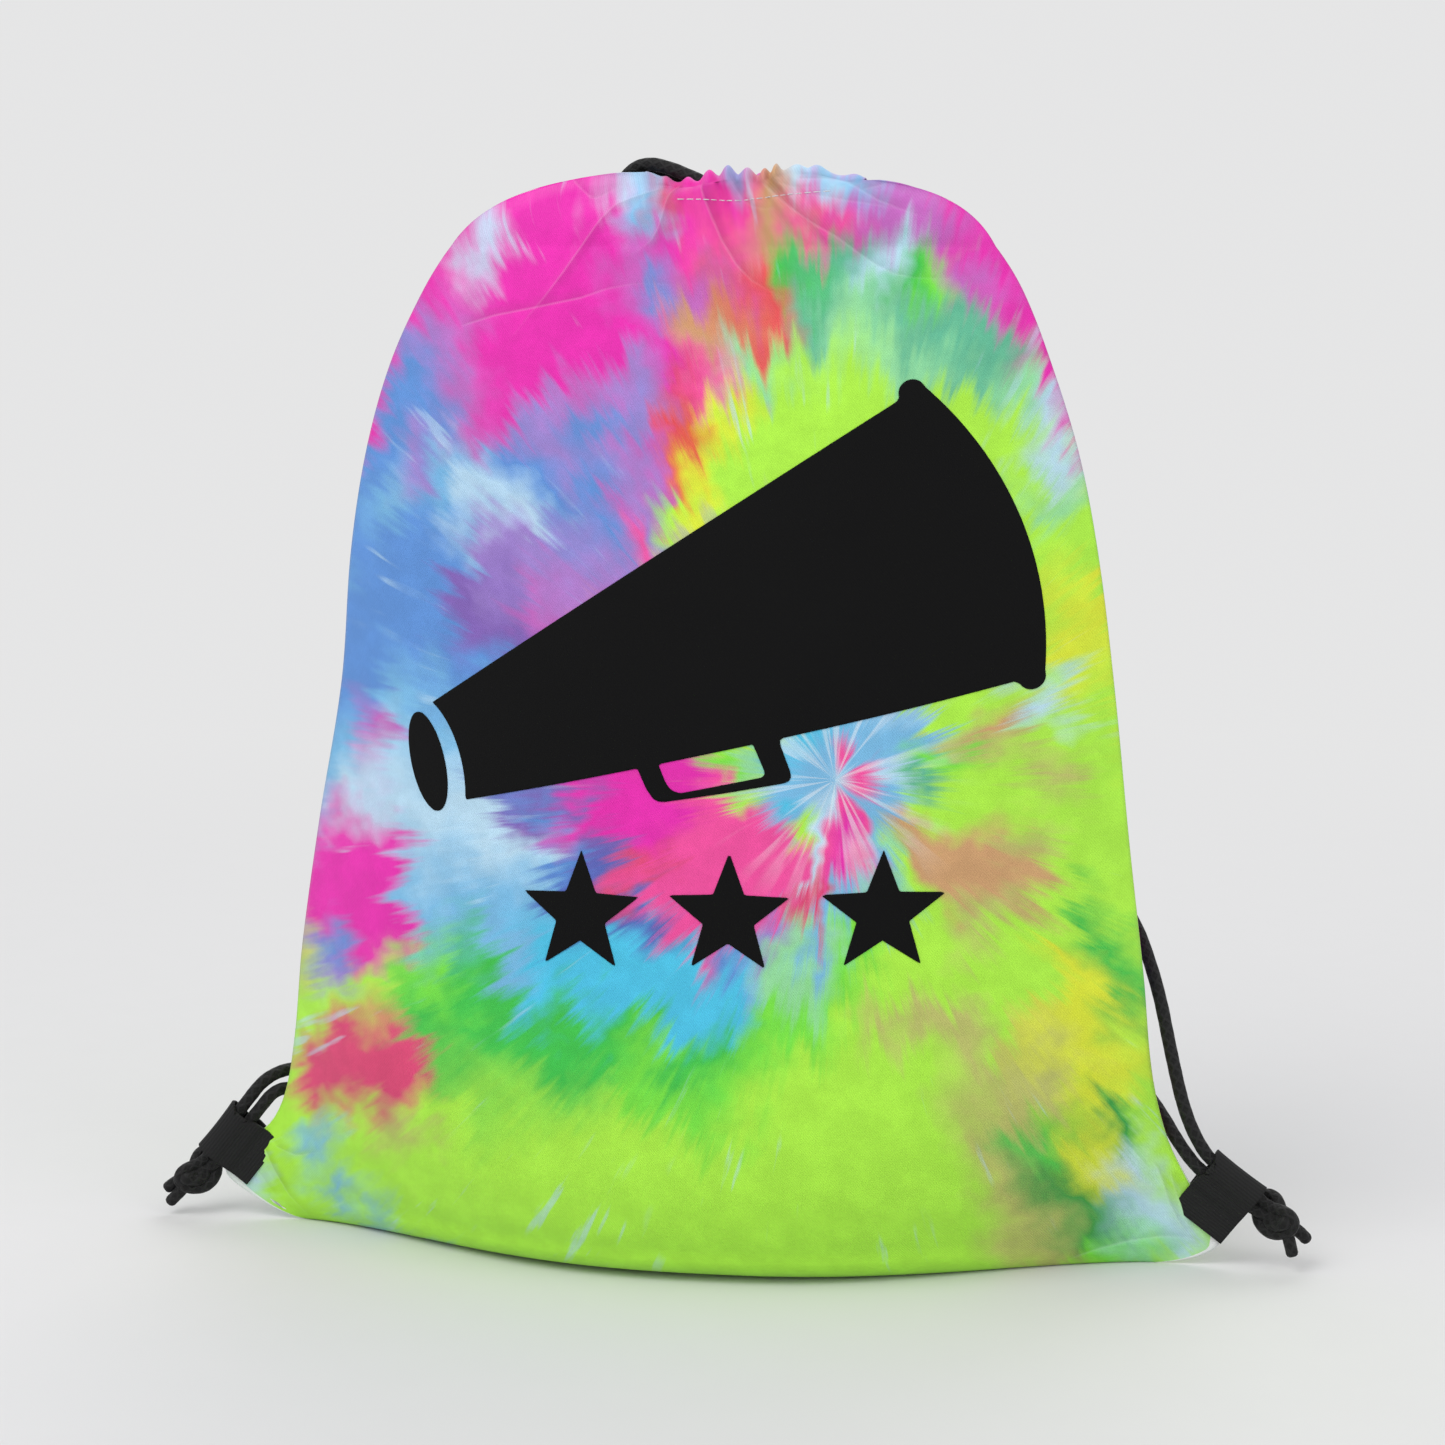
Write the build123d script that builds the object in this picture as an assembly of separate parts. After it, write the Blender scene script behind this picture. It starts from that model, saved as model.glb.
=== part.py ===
"""Drawstring backpack, drawn closed and standing on its base, in millimetres.

Two equal fabric panels are sewn together at the sides and the bottom, and each is folded over
at the top into a casing. A cord runs through both casings from each side and down to a tape
tab in the corner below, where its two strands are knotted together.
+X is the viewer's right, -Y the printed front and +Z up. The origin is on the floor, under the
middle of the bottom seam.
"""
import math
import os

from build123d import *

# Driving dimensions
fabric = 1.2  # wall of the panels and casings, thick enough to mesh
seam_half = 1.0  # one panel's share of the sewn edge
mouth_height = 359.0  # where the panels end and the casings begin
casing_height = 13.0
casing_width = 8.0
cord_radius = 2.25
strand_apart = 2.6  # of each strand from the middle of its tab
knot_radius = 7.4
knot_waist = 6.4
knot_end_radius = 5.3
knot_half = 6.3
seam_allowance = 7.0
seam_thickness = 1.6
film = 0.35  # flock print

# The flat base that the full bag stands on: centre in X, half width, front depth, back depth, flank
base = (0.0, 146.0, 35.0, 31.0, 1.6)
heel = 10.0  # the base rounds up into the sides over this height
heel_steps = 6

# Lines of the standing bag above the heel: height, then the same five.
# A flank over 1 pulls the section in to a thin ear at each corner.
stations = [
    (heel, -4.0, 177.0, 54.0, 47.0, 2.6),
    (18.0, -4.5, 173.5, 58.0, 50.5, 2.2),
    (30.0, -3.0, 164.0, 60.5, 52.5, 1.6),
    (44.0, -2.5, 156.5, 61.0, 53.0, 1.25),
    (66.0, -3.0, 151.5, 60.5, 52.5, 1.0),
    (100.0, -3.0, 148.0, 58.5, 51.0, 1.0),
    (145.0, -2.25, 141.75, 55.5, 48.0, 1.0),
    (195.0, -0.5, 134.5, 51.0, 43.5, 1.0),
    (240.0, -1.5, 129.5, 45.5, 38.5, 1.0),
    (275.0, -2.0, 123.0, 40.0, 34.0, 1.0),
    (305.0, -2.25, 113.75, 34.5, 29.5, 1.0),
    (330.0, -1.25, 102.75, 29.5, 26.0, 1.0),
    (345.0, -1.0, 93.0, 25.5, 23.0, 1.05),
    (353.0, 1.0, 79.0, 22.0, 20.5, 1.25),
    (mouth_height, 11.0, 46.0, 17.5, 17.5, 2.3),
]
section_power = 2.4
section_steps = 14  # along one side of a section
steepest_wall = 4.0
thinnest_hollow = 0.4


def profile(z):
    """The station at any height: a quarter ellipse up the heel, and a smooth cubic above it."""
    if z < heel:
        share = math.sqrt(max(0.0, 1 - (1 - z / heel) ** 2))
        return [b + (s - b) * share for b, s in zip(base, stations[0][1:])]
    heights = [s[0] for s in stations]
    i = min(len(stations) - 2, sum(h <= z for h in heights) - 1)
    low, high = stations[i], stations[i + 1]
    before, after = stations[max(i - 1, 0)], stations[min(i + 2, len(stations) - 1)]
    span = high[0] - low[0]
    t = (z - low[0]) / span
    values = []
    for k in range(1, 6):
        step = (high[k] - low[k]) / span
        start = (high[k] - before[k]) / (high[0] - before[0]) if i else step
        end = (after[k] - low[k]) / (after[0] - low[0]) if after is not high else step
        values.append(
            (1 + 2 * t) * (1 - t) ** 2 * low[k]
            + t * (1 - t) ** 2 * span * start
            + t * t * (3 - 2 * t) * high[k]
            + t * t * (t - 1) * span * end
        )
    return values


def depth_at(u, depth, flank):
    """Half depth of a section at the share u of its half width."""
    return seam_half + (depth - seam_half) * (1 - min(abs(u), 1.0) ** section_power) ** flank


def half_depth(x, z, index):
    """Half depth at a place, to the front (index 2) or to the back (index 3)."""
    values = profile(z)
    return depth_at((x - values[0]) / values[1], values[index], values[4])


def heel_heights(floor):
    """Heights up the heel, evenly spread round its quarter ellipse."""
    angles = [math.pi / 2 * i / heel_steps for i in range(heel_steps)]
    return [floor + (heel - floor) * (1 - math.cos(a)) for a in angles]


# Every station, and halfway between each two
levels = [stations[0][0]]
for low, high in zip(stations, stations[1:]):
    levels += [(low[0] + high[0]) / 2, high[0]]


def section_points(z, centre, half_width, front, back):
    """Points round a section, from the half depths to the front and back at a share of the half width."""
    shares = [math.cos(math.pi * i / section_steps) for i in range(section_steps + 1)]
    return (
        [(centre + half_width * u, -front(u), z) for u in shares],
        [(centre + half_width * u, back(u), z) for u in reversed(shares)],
    )


def section_face(points):
    front_points, back_points = points
    edges = [
        Spline(*front_points),
        Line(front_points[-1], back_points[0]),
        Spline(*back_points),
        Line(back_points[-1], front_points[0]),
    ]
    return Face(Wire(edges))


def outer_section(z, swell=0.0):
    """The bag's outline at a height. swell moves the front out, for a film on it."""
    centre, half_width, front_depth, back_depth, flank = profile(z)
    return section_points(
        z,
        centre,
        half_width,
        lambda u: depth_at(u, front_depth, flank) + swell,
        lambda u: depth_at(u, back_depth, flank),
    )


def wall_across(x, z, index, step=0.5):
    """The wall's thickness in Y, so that it is one fabric thick along its normal."""
    low, high = z - step, min(z + step, mouth_height)
    inward = x - step if x > profile(z)[0] else x + step
    along_z = (half_depth(x, high, index) - half_depth(x, low, index)) / (high - low)
    along_x = (half_depth(inward, z, index) - half_depth(x, z, index)) / step
    return fabric * min(math.sqrt(1 + along_z**2 + along_x**2), steepest_wall)


def edge_slope(z, step=0.5):
    """How fast the sewn side edge runs in as it rises, the faster of the two sides."""
    low, high = z - step, min(z + step, mouth_height)
    below, above = profile(low), profile(high)
    sides = [(above[0] + s * above[1] - below[0] - s * below[1]) / (high - low) for s in (-1, 1)]
    return max(abs(s) for s in sides)


def hollow_share(z):
    """The share of the half width that the hollow reaches."""
    centre, half_width, front_depth, back_depth, flank = profile(z)
    share = 1 - fabric * math.sqrt(1 + min(edge_slope(z), 7.0) ** 2) / half_width

    def thinnest(share):
        return min(
            half_depth(centre + s * half_width * share, z, k) - wall_across(centre + s * half_width * share, z, k)
            for s in (-1, 1)
            for k in (2, 3)
        )

    while thinnest(share) < thinnest_hollow:
        share -= 0.002
    return share


def inner_section(z):
    """The hollow's outline at a height above the heel: the outer one less the wall."""
    centre, half_width = profile(z)[:2]
    share = hollow_share(z)

    def hollow(u, index):
        x = centre + half_width * share * u
        return max(half_depth(x, z, index) - wall_across(x, z, index), thinnest_hollow)

    return section_points(
        z, centre, half_width * share, lambda u: hollow(u, 2), lambda u: hollow(u, 3)
    )


def inner_heel_section(z):
    """The hollow's outline in the heel, a quarter ellipse from the floor of the hollow up."""
    centre, half_width, front_depth, back_depth, flank = base
    low = section_points(
        z,
        centre,
        half_width - fabric,
        lambda u: depth_at(u, front_depth, flank) * (1 - fabric / front_depth),
        lambda u: depth_at(u, back_depth, flank) * (1 - fabric / back_depth),
    )
    share = math.sqrt(1 - (1 - (z - fabric) / (heel - fabric)) ** 2)
    high = inner_section(heel)
    return [
        [(a + (c - a) * share, b + (d - b) * share, z) for (a, b, _), (c, d, _) in zip(*pair)]
        for pair in zip(low, high)
    ]


def section_loft(sections):
    return loft([section_face(p) for p in sections], ruled=True)


outer_levels = heel_heights(0.0) + levels
outer = section_loft([outer_section(z) for z in outer_levels])
inner_sections = [inner_heel_section(z) for z in heel_heights(fabric)] + [inner_section(z) for z in levels]
above = [[(x, y, mouth_height + 8) for x, y, _ in side] for side in inner_sections[-1]]
inner = section_loft([*inner_sections, above])
shell = outer - inner

parts = {}

# Panels, sewn together in the plane Y = 0
parts["front_panel"] = split(shell, Plane.XZ, Keep.TOP)
parts["back_panel"] = split(shell, Plane.XZ, Keep.BOTTOM)


def flat_face(points):
    """A face in the plane Y = 0 inside (x, z) points."""
    corners = [(x, 0, z) for x, z in points]
    return Face(Wire(Polyline(*corners, corners[0])))


def slab(face, half):
    """A face in the plane Y = 0, thickened both ways."""
    return extrude(face, amount=half, dir=(0, 1, 0), both=True)


# Overlocked seam allowances, standing inward from the sides and up from the bottom
seam_levels = [z for z in levels if 9 < z < 356]
for name, side in (("left_side_seam", -1), ("right_side_seam", 1)):
    outside, inside = [], []
    for z in seam_levels:
        centre, half_width = profile(z)[:2]
        width = min(seam_allowance * math.sqrt(1 + edge_slope(z) ** 2), 2.5 * seam_allowance)
        outside.append((centre + side * half_width, z))
        inside.append((centre + side * (half_width * hollow_share(z) - width), z))
    parts[name] = slab(flat_face(outside + inside[::-1]), seam_thickness / 2) & inner
bottom_height = fabric + seam_allowance
parts["bottom_seam"] = (
    slab(flat_face([(-185, 0), (185, 0), (185, bottom_height), (-185, bottom_height)]), seam_thickness / 2)
    & inner
)

# Casings: each panel's top folded over and stitched, gathered round the slit of a mouth
mouth_line = [(-25, 4.5), (-14, 4.5), (1, 13.4), (23, 13.4), (38, 4.5), (49, 4.5)]
mouth_radii = [18, 28, 28, 18]
channel = (casing_width - 2 * fabric, casing_height - 2 * fabric)
casing_middle = mouth_height + casing_height / 2


def along(points, radii):
    """Straight runs joined by tangent arcs, one radius for each corner."""
    return Wire(FilletPolyline(*points, radius=radii).edges())


def section_plane(path):
    return Plane(origin=path @ 0, x_dir=(0, 1, 0), z_dir=path % 0)


for name, side in (("front_casing", -1), ("back_casing", 1)):
    path = along([(x, side * y, casing_middle) for x, y in mouth_line], mouth_radii)
    band = Rectangle(casing_width, casing_height) - Rectangle(*channel)
    parts[name] = sweep(section_plane(path) * band, path=path)
    thread = Plane(origin=(-25, side * (4.5 + casing_width / 2 + 0.25), mouth_height + 2.6), x_dir=(0, 1, 0), z_dir=(1, 0, 0))
    parts[name + "_stitching"] = sweep(thread * Rectangle(0.5, 0.8), path=path)


def tube(path):
    return sweep(Plane(origin=path @ 0, z_dir=path % 0) * Circle(cord_radius), path=path)


# Each cord inside the casings: in along one, round its end and back along the other
upper_level = casing_middle + 2.5
lower_level = casing_middle - 2.5
turn = 4.5  # radius of the bend between the casings


def cord_in_casing(start, end, level):
    """start and end are where the cord leaves the mouth and where its bend begins, in X."""
    line = mouth_line if end > start else mouth_line[::-1]
    line = [(start, 4.5), *line[1:-1], (end, 4.5)]
    one = along([(x, -y, level) for x, y in line], mouth_radii)
    reach = end + math.copysign(turn, end - start)
    bend = ThreePointArc((end, -4.5, level), (reach, 0, level), (end, 4.5, level))
    other = along([(x, y, level) for x, y in line[::-1]], mouth_radii)
    return Wire([*one.edges(), *bend.edges(), *other.edges()])


cord_lines = {
    "left_cord_in_casing": cord_in_casing(-26.2, 51, upper_level),
    "right_cord_in_casing": cord_in_casing(50.2, -27, lower_level),
}


class Tab:
    """A loop of tape sewn into the side seam above a bottom corner, with two strands through it."""

    def __init__(self, centre, way, reach):
        self.centre = Vector(*centre)
        self.way = Vector(*way).normalized()  # along the tunnel, to the knot
        self.inward = Vector(-self.way.Z, 0, self.way.X)  # across it, to the bag
        if self.inward.Z > 0:
            self.inward = -self.inward
        self.reach = reach

    def plane(self, distance=0.0):
        return Plane(origin=self.centre + self.way * distance, x_dir=self.inward, z_dir=self.way)

    def strand_end(self, side, distance=13.0):
        """Where the outer (-1) or inner (1) strand ends above the tunnel."""
        return self.centre - self.way * distance + self.inward * (strand_apart * side)

    def loop(self):
        slot = RectangleRounded(10.5, 5.2, 2.0)
        ring = extrude(self.plane(-10) * (RectangleRounded(12.9, 7.6, 3.0) - slot), amount=20)
        web = extrude(self.plane(-10) * Pos((self.reach + 5.8) / 2, 0) * Rectangle(self.reach - 5.8, 1.8), amount=20)
        return (ring + web) - outer

    def knot(self, tails):
        """The overhand knot of the doubled cord, its strands through the tunnel, and the cut tails."""
        middle = self.centre + self.way * 18.5
        end, fold = knot_half, knot_half / 2
        bulges = [
            ThreePointArc((knot_end_radius, 0, -end), (knot_radius, 0, -fold), (knot_waist, 0, 0)),
            ThreePointArc((knot_waist, 0, 0), (knot_radius, 0, fold), (knot_end_radius, 0, end)),
        ]
        rest = Polyline((knot_end_radius, 0, end), (0, 0, end), (0, 0, -end), (knot_end_radius, 0, -end))
        barrel = revolve(Face(Wire([*bulges[0].edges(), *bulges[1].edges(), *rest.edges()])), Axis.Z)
        solid = Plane(origin=middle, x_dir=(0, 1, 0), z_dir=self.way) * barrel
        for side in (-1, 1):
            start = Plane(origin=self.strand_end(side, 11.7), z_dir=self.way)
            solid += extrude(start * Circle(cord_radius), amount=30.0)
        for tail in tails:
            start = Plane(origin=middle, z_dir=Vector(*tail).normalized())
            solid += extrude(start * Circle(cord_radius), amount=Vector(*tail).length)
        return solid


left_tab = Tab((-179, 0, 30), (-0.62, 0, -0.785), 12.0)
right_tab = Tab((175.5, 0, 29), (0.8, 0, -0.6), 14.5)
parts["left_corner_tab"] = left_tab.loop()
parts["right_corner_tab"] = right_tab.loop()
parts["left_knot"] = left_tab.knot([(-11, -1, -5.5), (-8, -4, -7)])
parts["right_knot"] = right_tab.knot([(6, -3, -9), (9, 5, -5)])

# Free strands: over the back edge of the mouth, down behind the bag and round its side to the tab
routes = {
    "left_strap_strand_a": [
        (-28, -4.5, upper_level),
        (-34, -4.5, 370.5),
        (-40, 1.5, 369.8),
        (-43.5, 14, 362),
        (-42.5, 28.5, 342),
        (-35, 38, 310),
        (-23, 45, 272),
        (-13.5, 51, 230),
        (-8, 55, 187),
        (-10, 59, 145),
        (-24, 61, 106),
        (-48, 60, 76),
        (-78, 56, 57),
        (-108, 47, 48),
        (-134, 31, 47),
        (-150, 17, 51),
        (-159, 10, 53),
        (-166.5, 2.5, 50.5),
        left_tab.strand_end(-1),
    ],
    "left_strap_strand_b": [
        (-28, 4.5, upper_level),
        (-33, 5.2, 368.6),
        (-36.5, 12, 365.5),
        (-35.5, 25.5, 352),
        (-29, 35, 327),
        (-17, 42.5, 294),
        (-3, 48, 256),
        (5, 54, 213),
        (8, 58, 168),
        (2, 61, 124),
        (-14, 63, 88),
        (-38, 62, 60),
        (-67, 58, 43),
        (-98, 52, 35),
        (-126, 38, 32),
        (-145, 24, 37),
        (-155, 13, 44),
        (-162, 2.5, 47.5),
        left_tab.strand_end(1),
    ],
    "right_strap_strand_a": [
        (52, -4.5, lower_level),
        (60, -4.5, 363.5),
        (68.5, 3, 363),
        (73, 17, 355),
        (68.5, 30, 334),
        (58, 39, 304),
        (47, 46, 269),
        (40, 52, 232),
        (45, 55, 196),
        (60, 54, 165),
        (87, 48, 146),
        (115, 39, 135),
        (138, 22, 121),
        (149, 9, 97),
        (155, 2.5, 71),
        (160, -0.5, 52),
        right_tab.strand_end(-1),
    ],
    "right_strap_strand_b": [
        (52, 4.5, lower_level),
        (58, 5.2, 363),
        (63, 11.5, 360.5),
        (63, 23, 350),
        (51, 35, 324),
        (37, 44, 290),
        (25, 50, 252),
        (20, 55, 212),
        (26, 58, 173),
        (45, 59, 138),
        (72, 58, 110),
        (101, 52, 88),
        (125, 40, 72),
        (142, 22, 59),
        (151.5, 9.5, 50),
        (157.5, 2.5, 42),
        right_tab.strand_end(1),
    ],
}
for name, points in routes.items():
    points = [Vector(*p) for p in points]
    runs = [b - a for a, b in zip(points, points[1:])]
    turns = [a.get_angle(b) for a, b in zip(runs, runs[1:])]
    radii = [
        0.45 * min(a.length, b.length) / math.tan(math.radians(t) / 2)
        for a, b, t in zip(runs, runs[1:], turns)
    ]
    cord_lines[name] = along(points, radii)
    print(name, "radii", [round(r) for r in radii], "turns", [round(t) for t in turns])
for name, line in cord_lines.items():
    parts[name] = tube(line)
    ideal = math.pi * cord_radius**2 * line.length
    print(name, "length %.1f mm, volume %.4f of section x length" % (line.length, parts[name].volume / ideal))

# Flock print on the front: a film over the panel's own curve
swelled = section_loft([outer_section(z, film) for z in outer_levels])


def on_front(face):
    block = extrude(Pos(0, -12, 0) * face, amount=80, dir=(0, -1, 0))
    return (block & swelled) - outer


def in_print(point):
    return (point[0], 0, point[1])


# Megaphone: a cone whose axis rises 23 degrees to the right, a ring mouthpiece and a handle
cone_angle = 23.0
cone_start = (-88.3, 176.1)
cone_length = 191.0
small_radius = 17.0
bell_radius = 51.0
bell_bulge = 16.3
rim = (194.9, 52.3)
knob_radius = 4.35
way = (math.cos(math.radians(cone_angle)), math.sin(math.radians(cone_angle)))


def cone_point(distance, across):
    return (
        cone_start[0] + way[0] * distance - way[1] * across,
        cone_start[1] + way[1] * distance + way[0] * across,
    )


def disc(centre, radius):
    edge = [(centre[0] + radius * s, 0, centre[1]) for s in (-1, 1)]
    high, low = [(centre[0], 0, centre[1] + radius * s) for s in (1, -1)]
    return Face(Wire([*ThreePointArc(edge[0], high, edge[1]).edges(), *ThreePointArc(edge[1], low, edge[0]).edges()]))


def oval(centre, long_radius, short_radius, angle):
    plane = Plane(origin=in_print(centre), x_dir=(math.cos(math.radians(angle)), 0, math.sin(math.radians(angle))), z_dir=(0, -1, 0))
    return (plane * Ellipse(long_radius, short_radius)).faces()[0]


half = [(0, small_radius), (cone_length, bell_radius), rim]
corners = [in_print(cone_point(d, a)) for d, a in half] + [in_print(cone_point(d, -a)) for d, a in reversed(half)]
cone = Face(
    Wire(
        [
            *Polyline(*corners[:3]).edges(),
            *ThreePointArc(corners[2], in_print(cone_point(cone_length + bell_bulge, 0)), corners[3]).edges(),
            *Polyline(*corners[3:], corners[0]).edges(),
        ]
    )
)
mouthpiece = oval((-96.0, 172.0), 16.8, 6.8, 107.4)
gap_round_mouthpiece = oval((-95.4, 170.1), 24.6, 13.3, 107.4)
knobs = [disc(cone_point(cone_length + 0.2, s * (bell_radius - 0.2)), knob_radius) for s in (-1, 1)]
handle = flat_face(
    [
        (-23, 183), (-19.3, 175.1), (-16, 168.1), (-13.7, 165), (-9.6, 164.1), (8.8, 167.2), (29.9, 171.1),
        (31.7, 172.9), (31.4, 175.2), (28.2, 183.5), (27.6, 191), (16, 191), (19.2, 183.8), (23.2, 174.7),
        (22.8, 173), (-4.5, 167.1), (-6.8, 167.6), (-9.7, 170.7), (-12.4, 177), (-15, 184),
    ]
)
megaphone = (on_front(cone) + on_front(handle) + on_front(knobs[0]) + on_front(knobs[1])) - extrude(
    Pos(0, -12, 0) * gap_round_mouthpiece, amount=80, dir=(0, -1, 0)
)
parts["megaphone_print"] = megaphone + on_front(mouthpiece)

# Three plain stars in a row under it
star_radius = 21.0
star_waist = 0.42
stars = []
for centre in ((-38.0, 126.0), (12.0, 127.0), (62.0, 128.0)):
    points = []
    for i in range(10):
        radius = star_radius * (star_waist if i % 2 else 1.0)
        angle = math.radians(90 + 36 * i)
        points.append((centre[0] + radius * math.cos(angle), centre[1] + radius * math.sin(angle)))
    stars.append(on_front(flat_face(points)))
parts["star_print"] = stars[0] + stars[1] + stars[2]

os.makedirs("parts", exist_ok=True)
for name, part in parts.items():
    solids = part.solids()
    whole = solids[0] if len(solids) == 1 else Compound(children=solids)
    export_step(whole, "parts/" + name + ".step")
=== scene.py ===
"""Drawstring backpack, drawn closed: the cloth, cords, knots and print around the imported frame.

Lengths in this script are in millimetres, in the frame's axes, and become metres where a mesh is
made. A cloth panel is a grid: u runs from -1 to 1 across it and its rows run from the bottom seam
under the bag, up the outside, over the casing and down its inner side.
"""
import math

import bmesh
import bpy
import numpy as np
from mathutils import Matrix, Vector, noise


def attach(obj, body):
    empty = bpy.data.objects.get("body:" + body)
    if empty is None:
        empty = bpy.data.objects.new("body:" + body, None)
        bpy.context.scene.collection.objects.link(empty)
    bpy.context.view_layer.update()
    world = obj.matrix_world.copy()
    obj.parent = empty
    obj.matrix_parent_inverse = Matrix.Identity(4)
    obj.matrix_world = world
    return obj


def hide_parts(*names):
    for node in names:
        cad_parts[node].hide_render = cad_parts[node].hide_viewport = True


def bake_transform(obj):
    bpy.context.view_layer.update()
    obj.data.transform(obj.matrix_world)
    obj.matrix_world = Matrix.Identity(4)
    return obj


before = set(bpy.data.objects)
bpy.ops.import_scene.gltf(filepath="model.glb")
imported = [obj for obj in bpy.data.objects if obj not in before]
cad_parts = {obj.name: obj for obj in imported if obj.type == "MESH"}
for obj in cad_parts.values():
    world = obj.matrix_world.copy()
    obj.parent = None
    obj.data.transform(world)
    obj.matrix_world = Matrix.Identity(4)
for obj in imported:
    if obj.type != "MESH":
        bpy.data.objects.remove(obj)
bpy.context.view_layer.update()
MM = 0.001

# ---------------------------------------------------------------------------------------------
# Driving dimensions
# ---------------------------------------------------------------------------------------------
cord_radius = 2.25
strand_apart = 2.6  # of each strand from the middle of its tab
cloth_thickness = 0.45
seam_gap = 0.2  # half the gap between the panels along the side seam

# The bag's base and its lines above the heel, as in the part's source:
# height, centre, half width, front depth, back depth, flank
base = np.array((0.0, 146.0, 35.0, 31.0, 1.6))
heel = 10.0
stations = np.array(
    [
        (heel, -4.0, 177.0, 54.0, 47.0, 2.6),
        (18.0, -4.5, 173.5, 58.0, 50.5, 2.2),
        (30.0, -3.0, 164.0, 60.5, 52.5, 1.6),
        (44.0, -2.5, 156.5, 61.0, 53.0, 1.25),
        (66.0, -3.0, 151.5, 60.5, 52.5, 1.0),
        (100.0, -3.0, 148.0, 58.5, 51.0, 1.0),
        (145.0, -2.25, 141.75, 55.5, 48.0, 1.0),
        (195.0, -0.5, 134.5, 51.0, 43.5, 1.0),
        (240.0, -1.5, 129.5, 45.5, 38.5, 1.0),
        (275.0, -2.0, 123.0, 40.0, 34.0, 1.0),
        (305.0, -2.25, 113.75, 34.5, 29.5, 1.0),
        (330.0, -1.25, 102.75, 29.5, 26.0, 1.0),
        (345.0, -1.0, 93.0, 25.5, 23.0, 1.05),
        (359.0, -1.0, 80.0, 21.0, 20.0, 1.1),
    ]
)
section_power = 2.4
shoulder = 345.0  # above it the cloth gathers in to the mouth

# The gathered mouth
mouth_centre = 12.0
mouth_half = 37.0
fold_height = 369.0  # where the casing starts to turn over
hem_height = 355.5  # where its inner side ends
mouth_narrow = 4.5  # half depth of the cord's path at the ends, and in the middle
mouth_wide = 13.4


# ---------------------------------------------------------------------------------------------
# Small tools
# ---------------------------------------------------------------------------------------------
def smooth(x, low, high):
    t = np.clip((x - low) / (high - low), 0.0, 1.0)
    return t * t * (3 - 2 * t)


def unit(v):
    return v / np.linalg.norm(v)


def make_piece(name, points, faces, body, material, uv=None, replaces=()):
    """A mesh piece from points in millimetres. uv is one pair for each point."""
    mesh = bpy.data.meshes.new(name)
    mesh.from_pydata([tuple(p) for p in np.asarray(points, float) * MM], [], [tuple(map(int, f)) for f in faces])
    mesh.polygons.foreach_set("use_smooth", [True] * len(mesh.polygons))
    if uv is not None:
        layer = mesh.uv_layers.new(name="cloth")
        corner = np.zeros(len(mesh.loops), np.int32)
        mesh.loops.foreach_get("vertex_index", corner)
        layer.data.foreach_set("uv", np.asarray(uv, np.float32)[corner].ravel())
    mesh.materials.append(material)
    piece = bpy.data.objects.new(name, mesh)
    bpy.context.scene.collection.objects.link(piece)
    if body:
        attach(piece, body)
    if replaces:
        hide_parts(*replaces)
    return piece


def grid_faces(rows, columns, flip=False):
    """Quads of a grid of points, row by row."""
    faces = []
    for i in range(rows - 1):
        for j in range(columns - 1):
            a, b = i * columns + j, (i + 1) * columns + j
            quad = (a, a + 1, b + 1, b)
            faces.append(quad[::-1] if flip else quad)
    return faces


# ---------------------------------------------------------------------------------------------
# Materials
# ---------------------------------------------------------------------------------------------
def linear(colour):
    """An sRGB colour as written, as the linear one that nodes take."""
    return tuple(c / 12.92 if c <= 0.04045 else ((c + 0.055) / 1.055) ** 2.4 for c in colour) + (1.0,)


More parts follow.
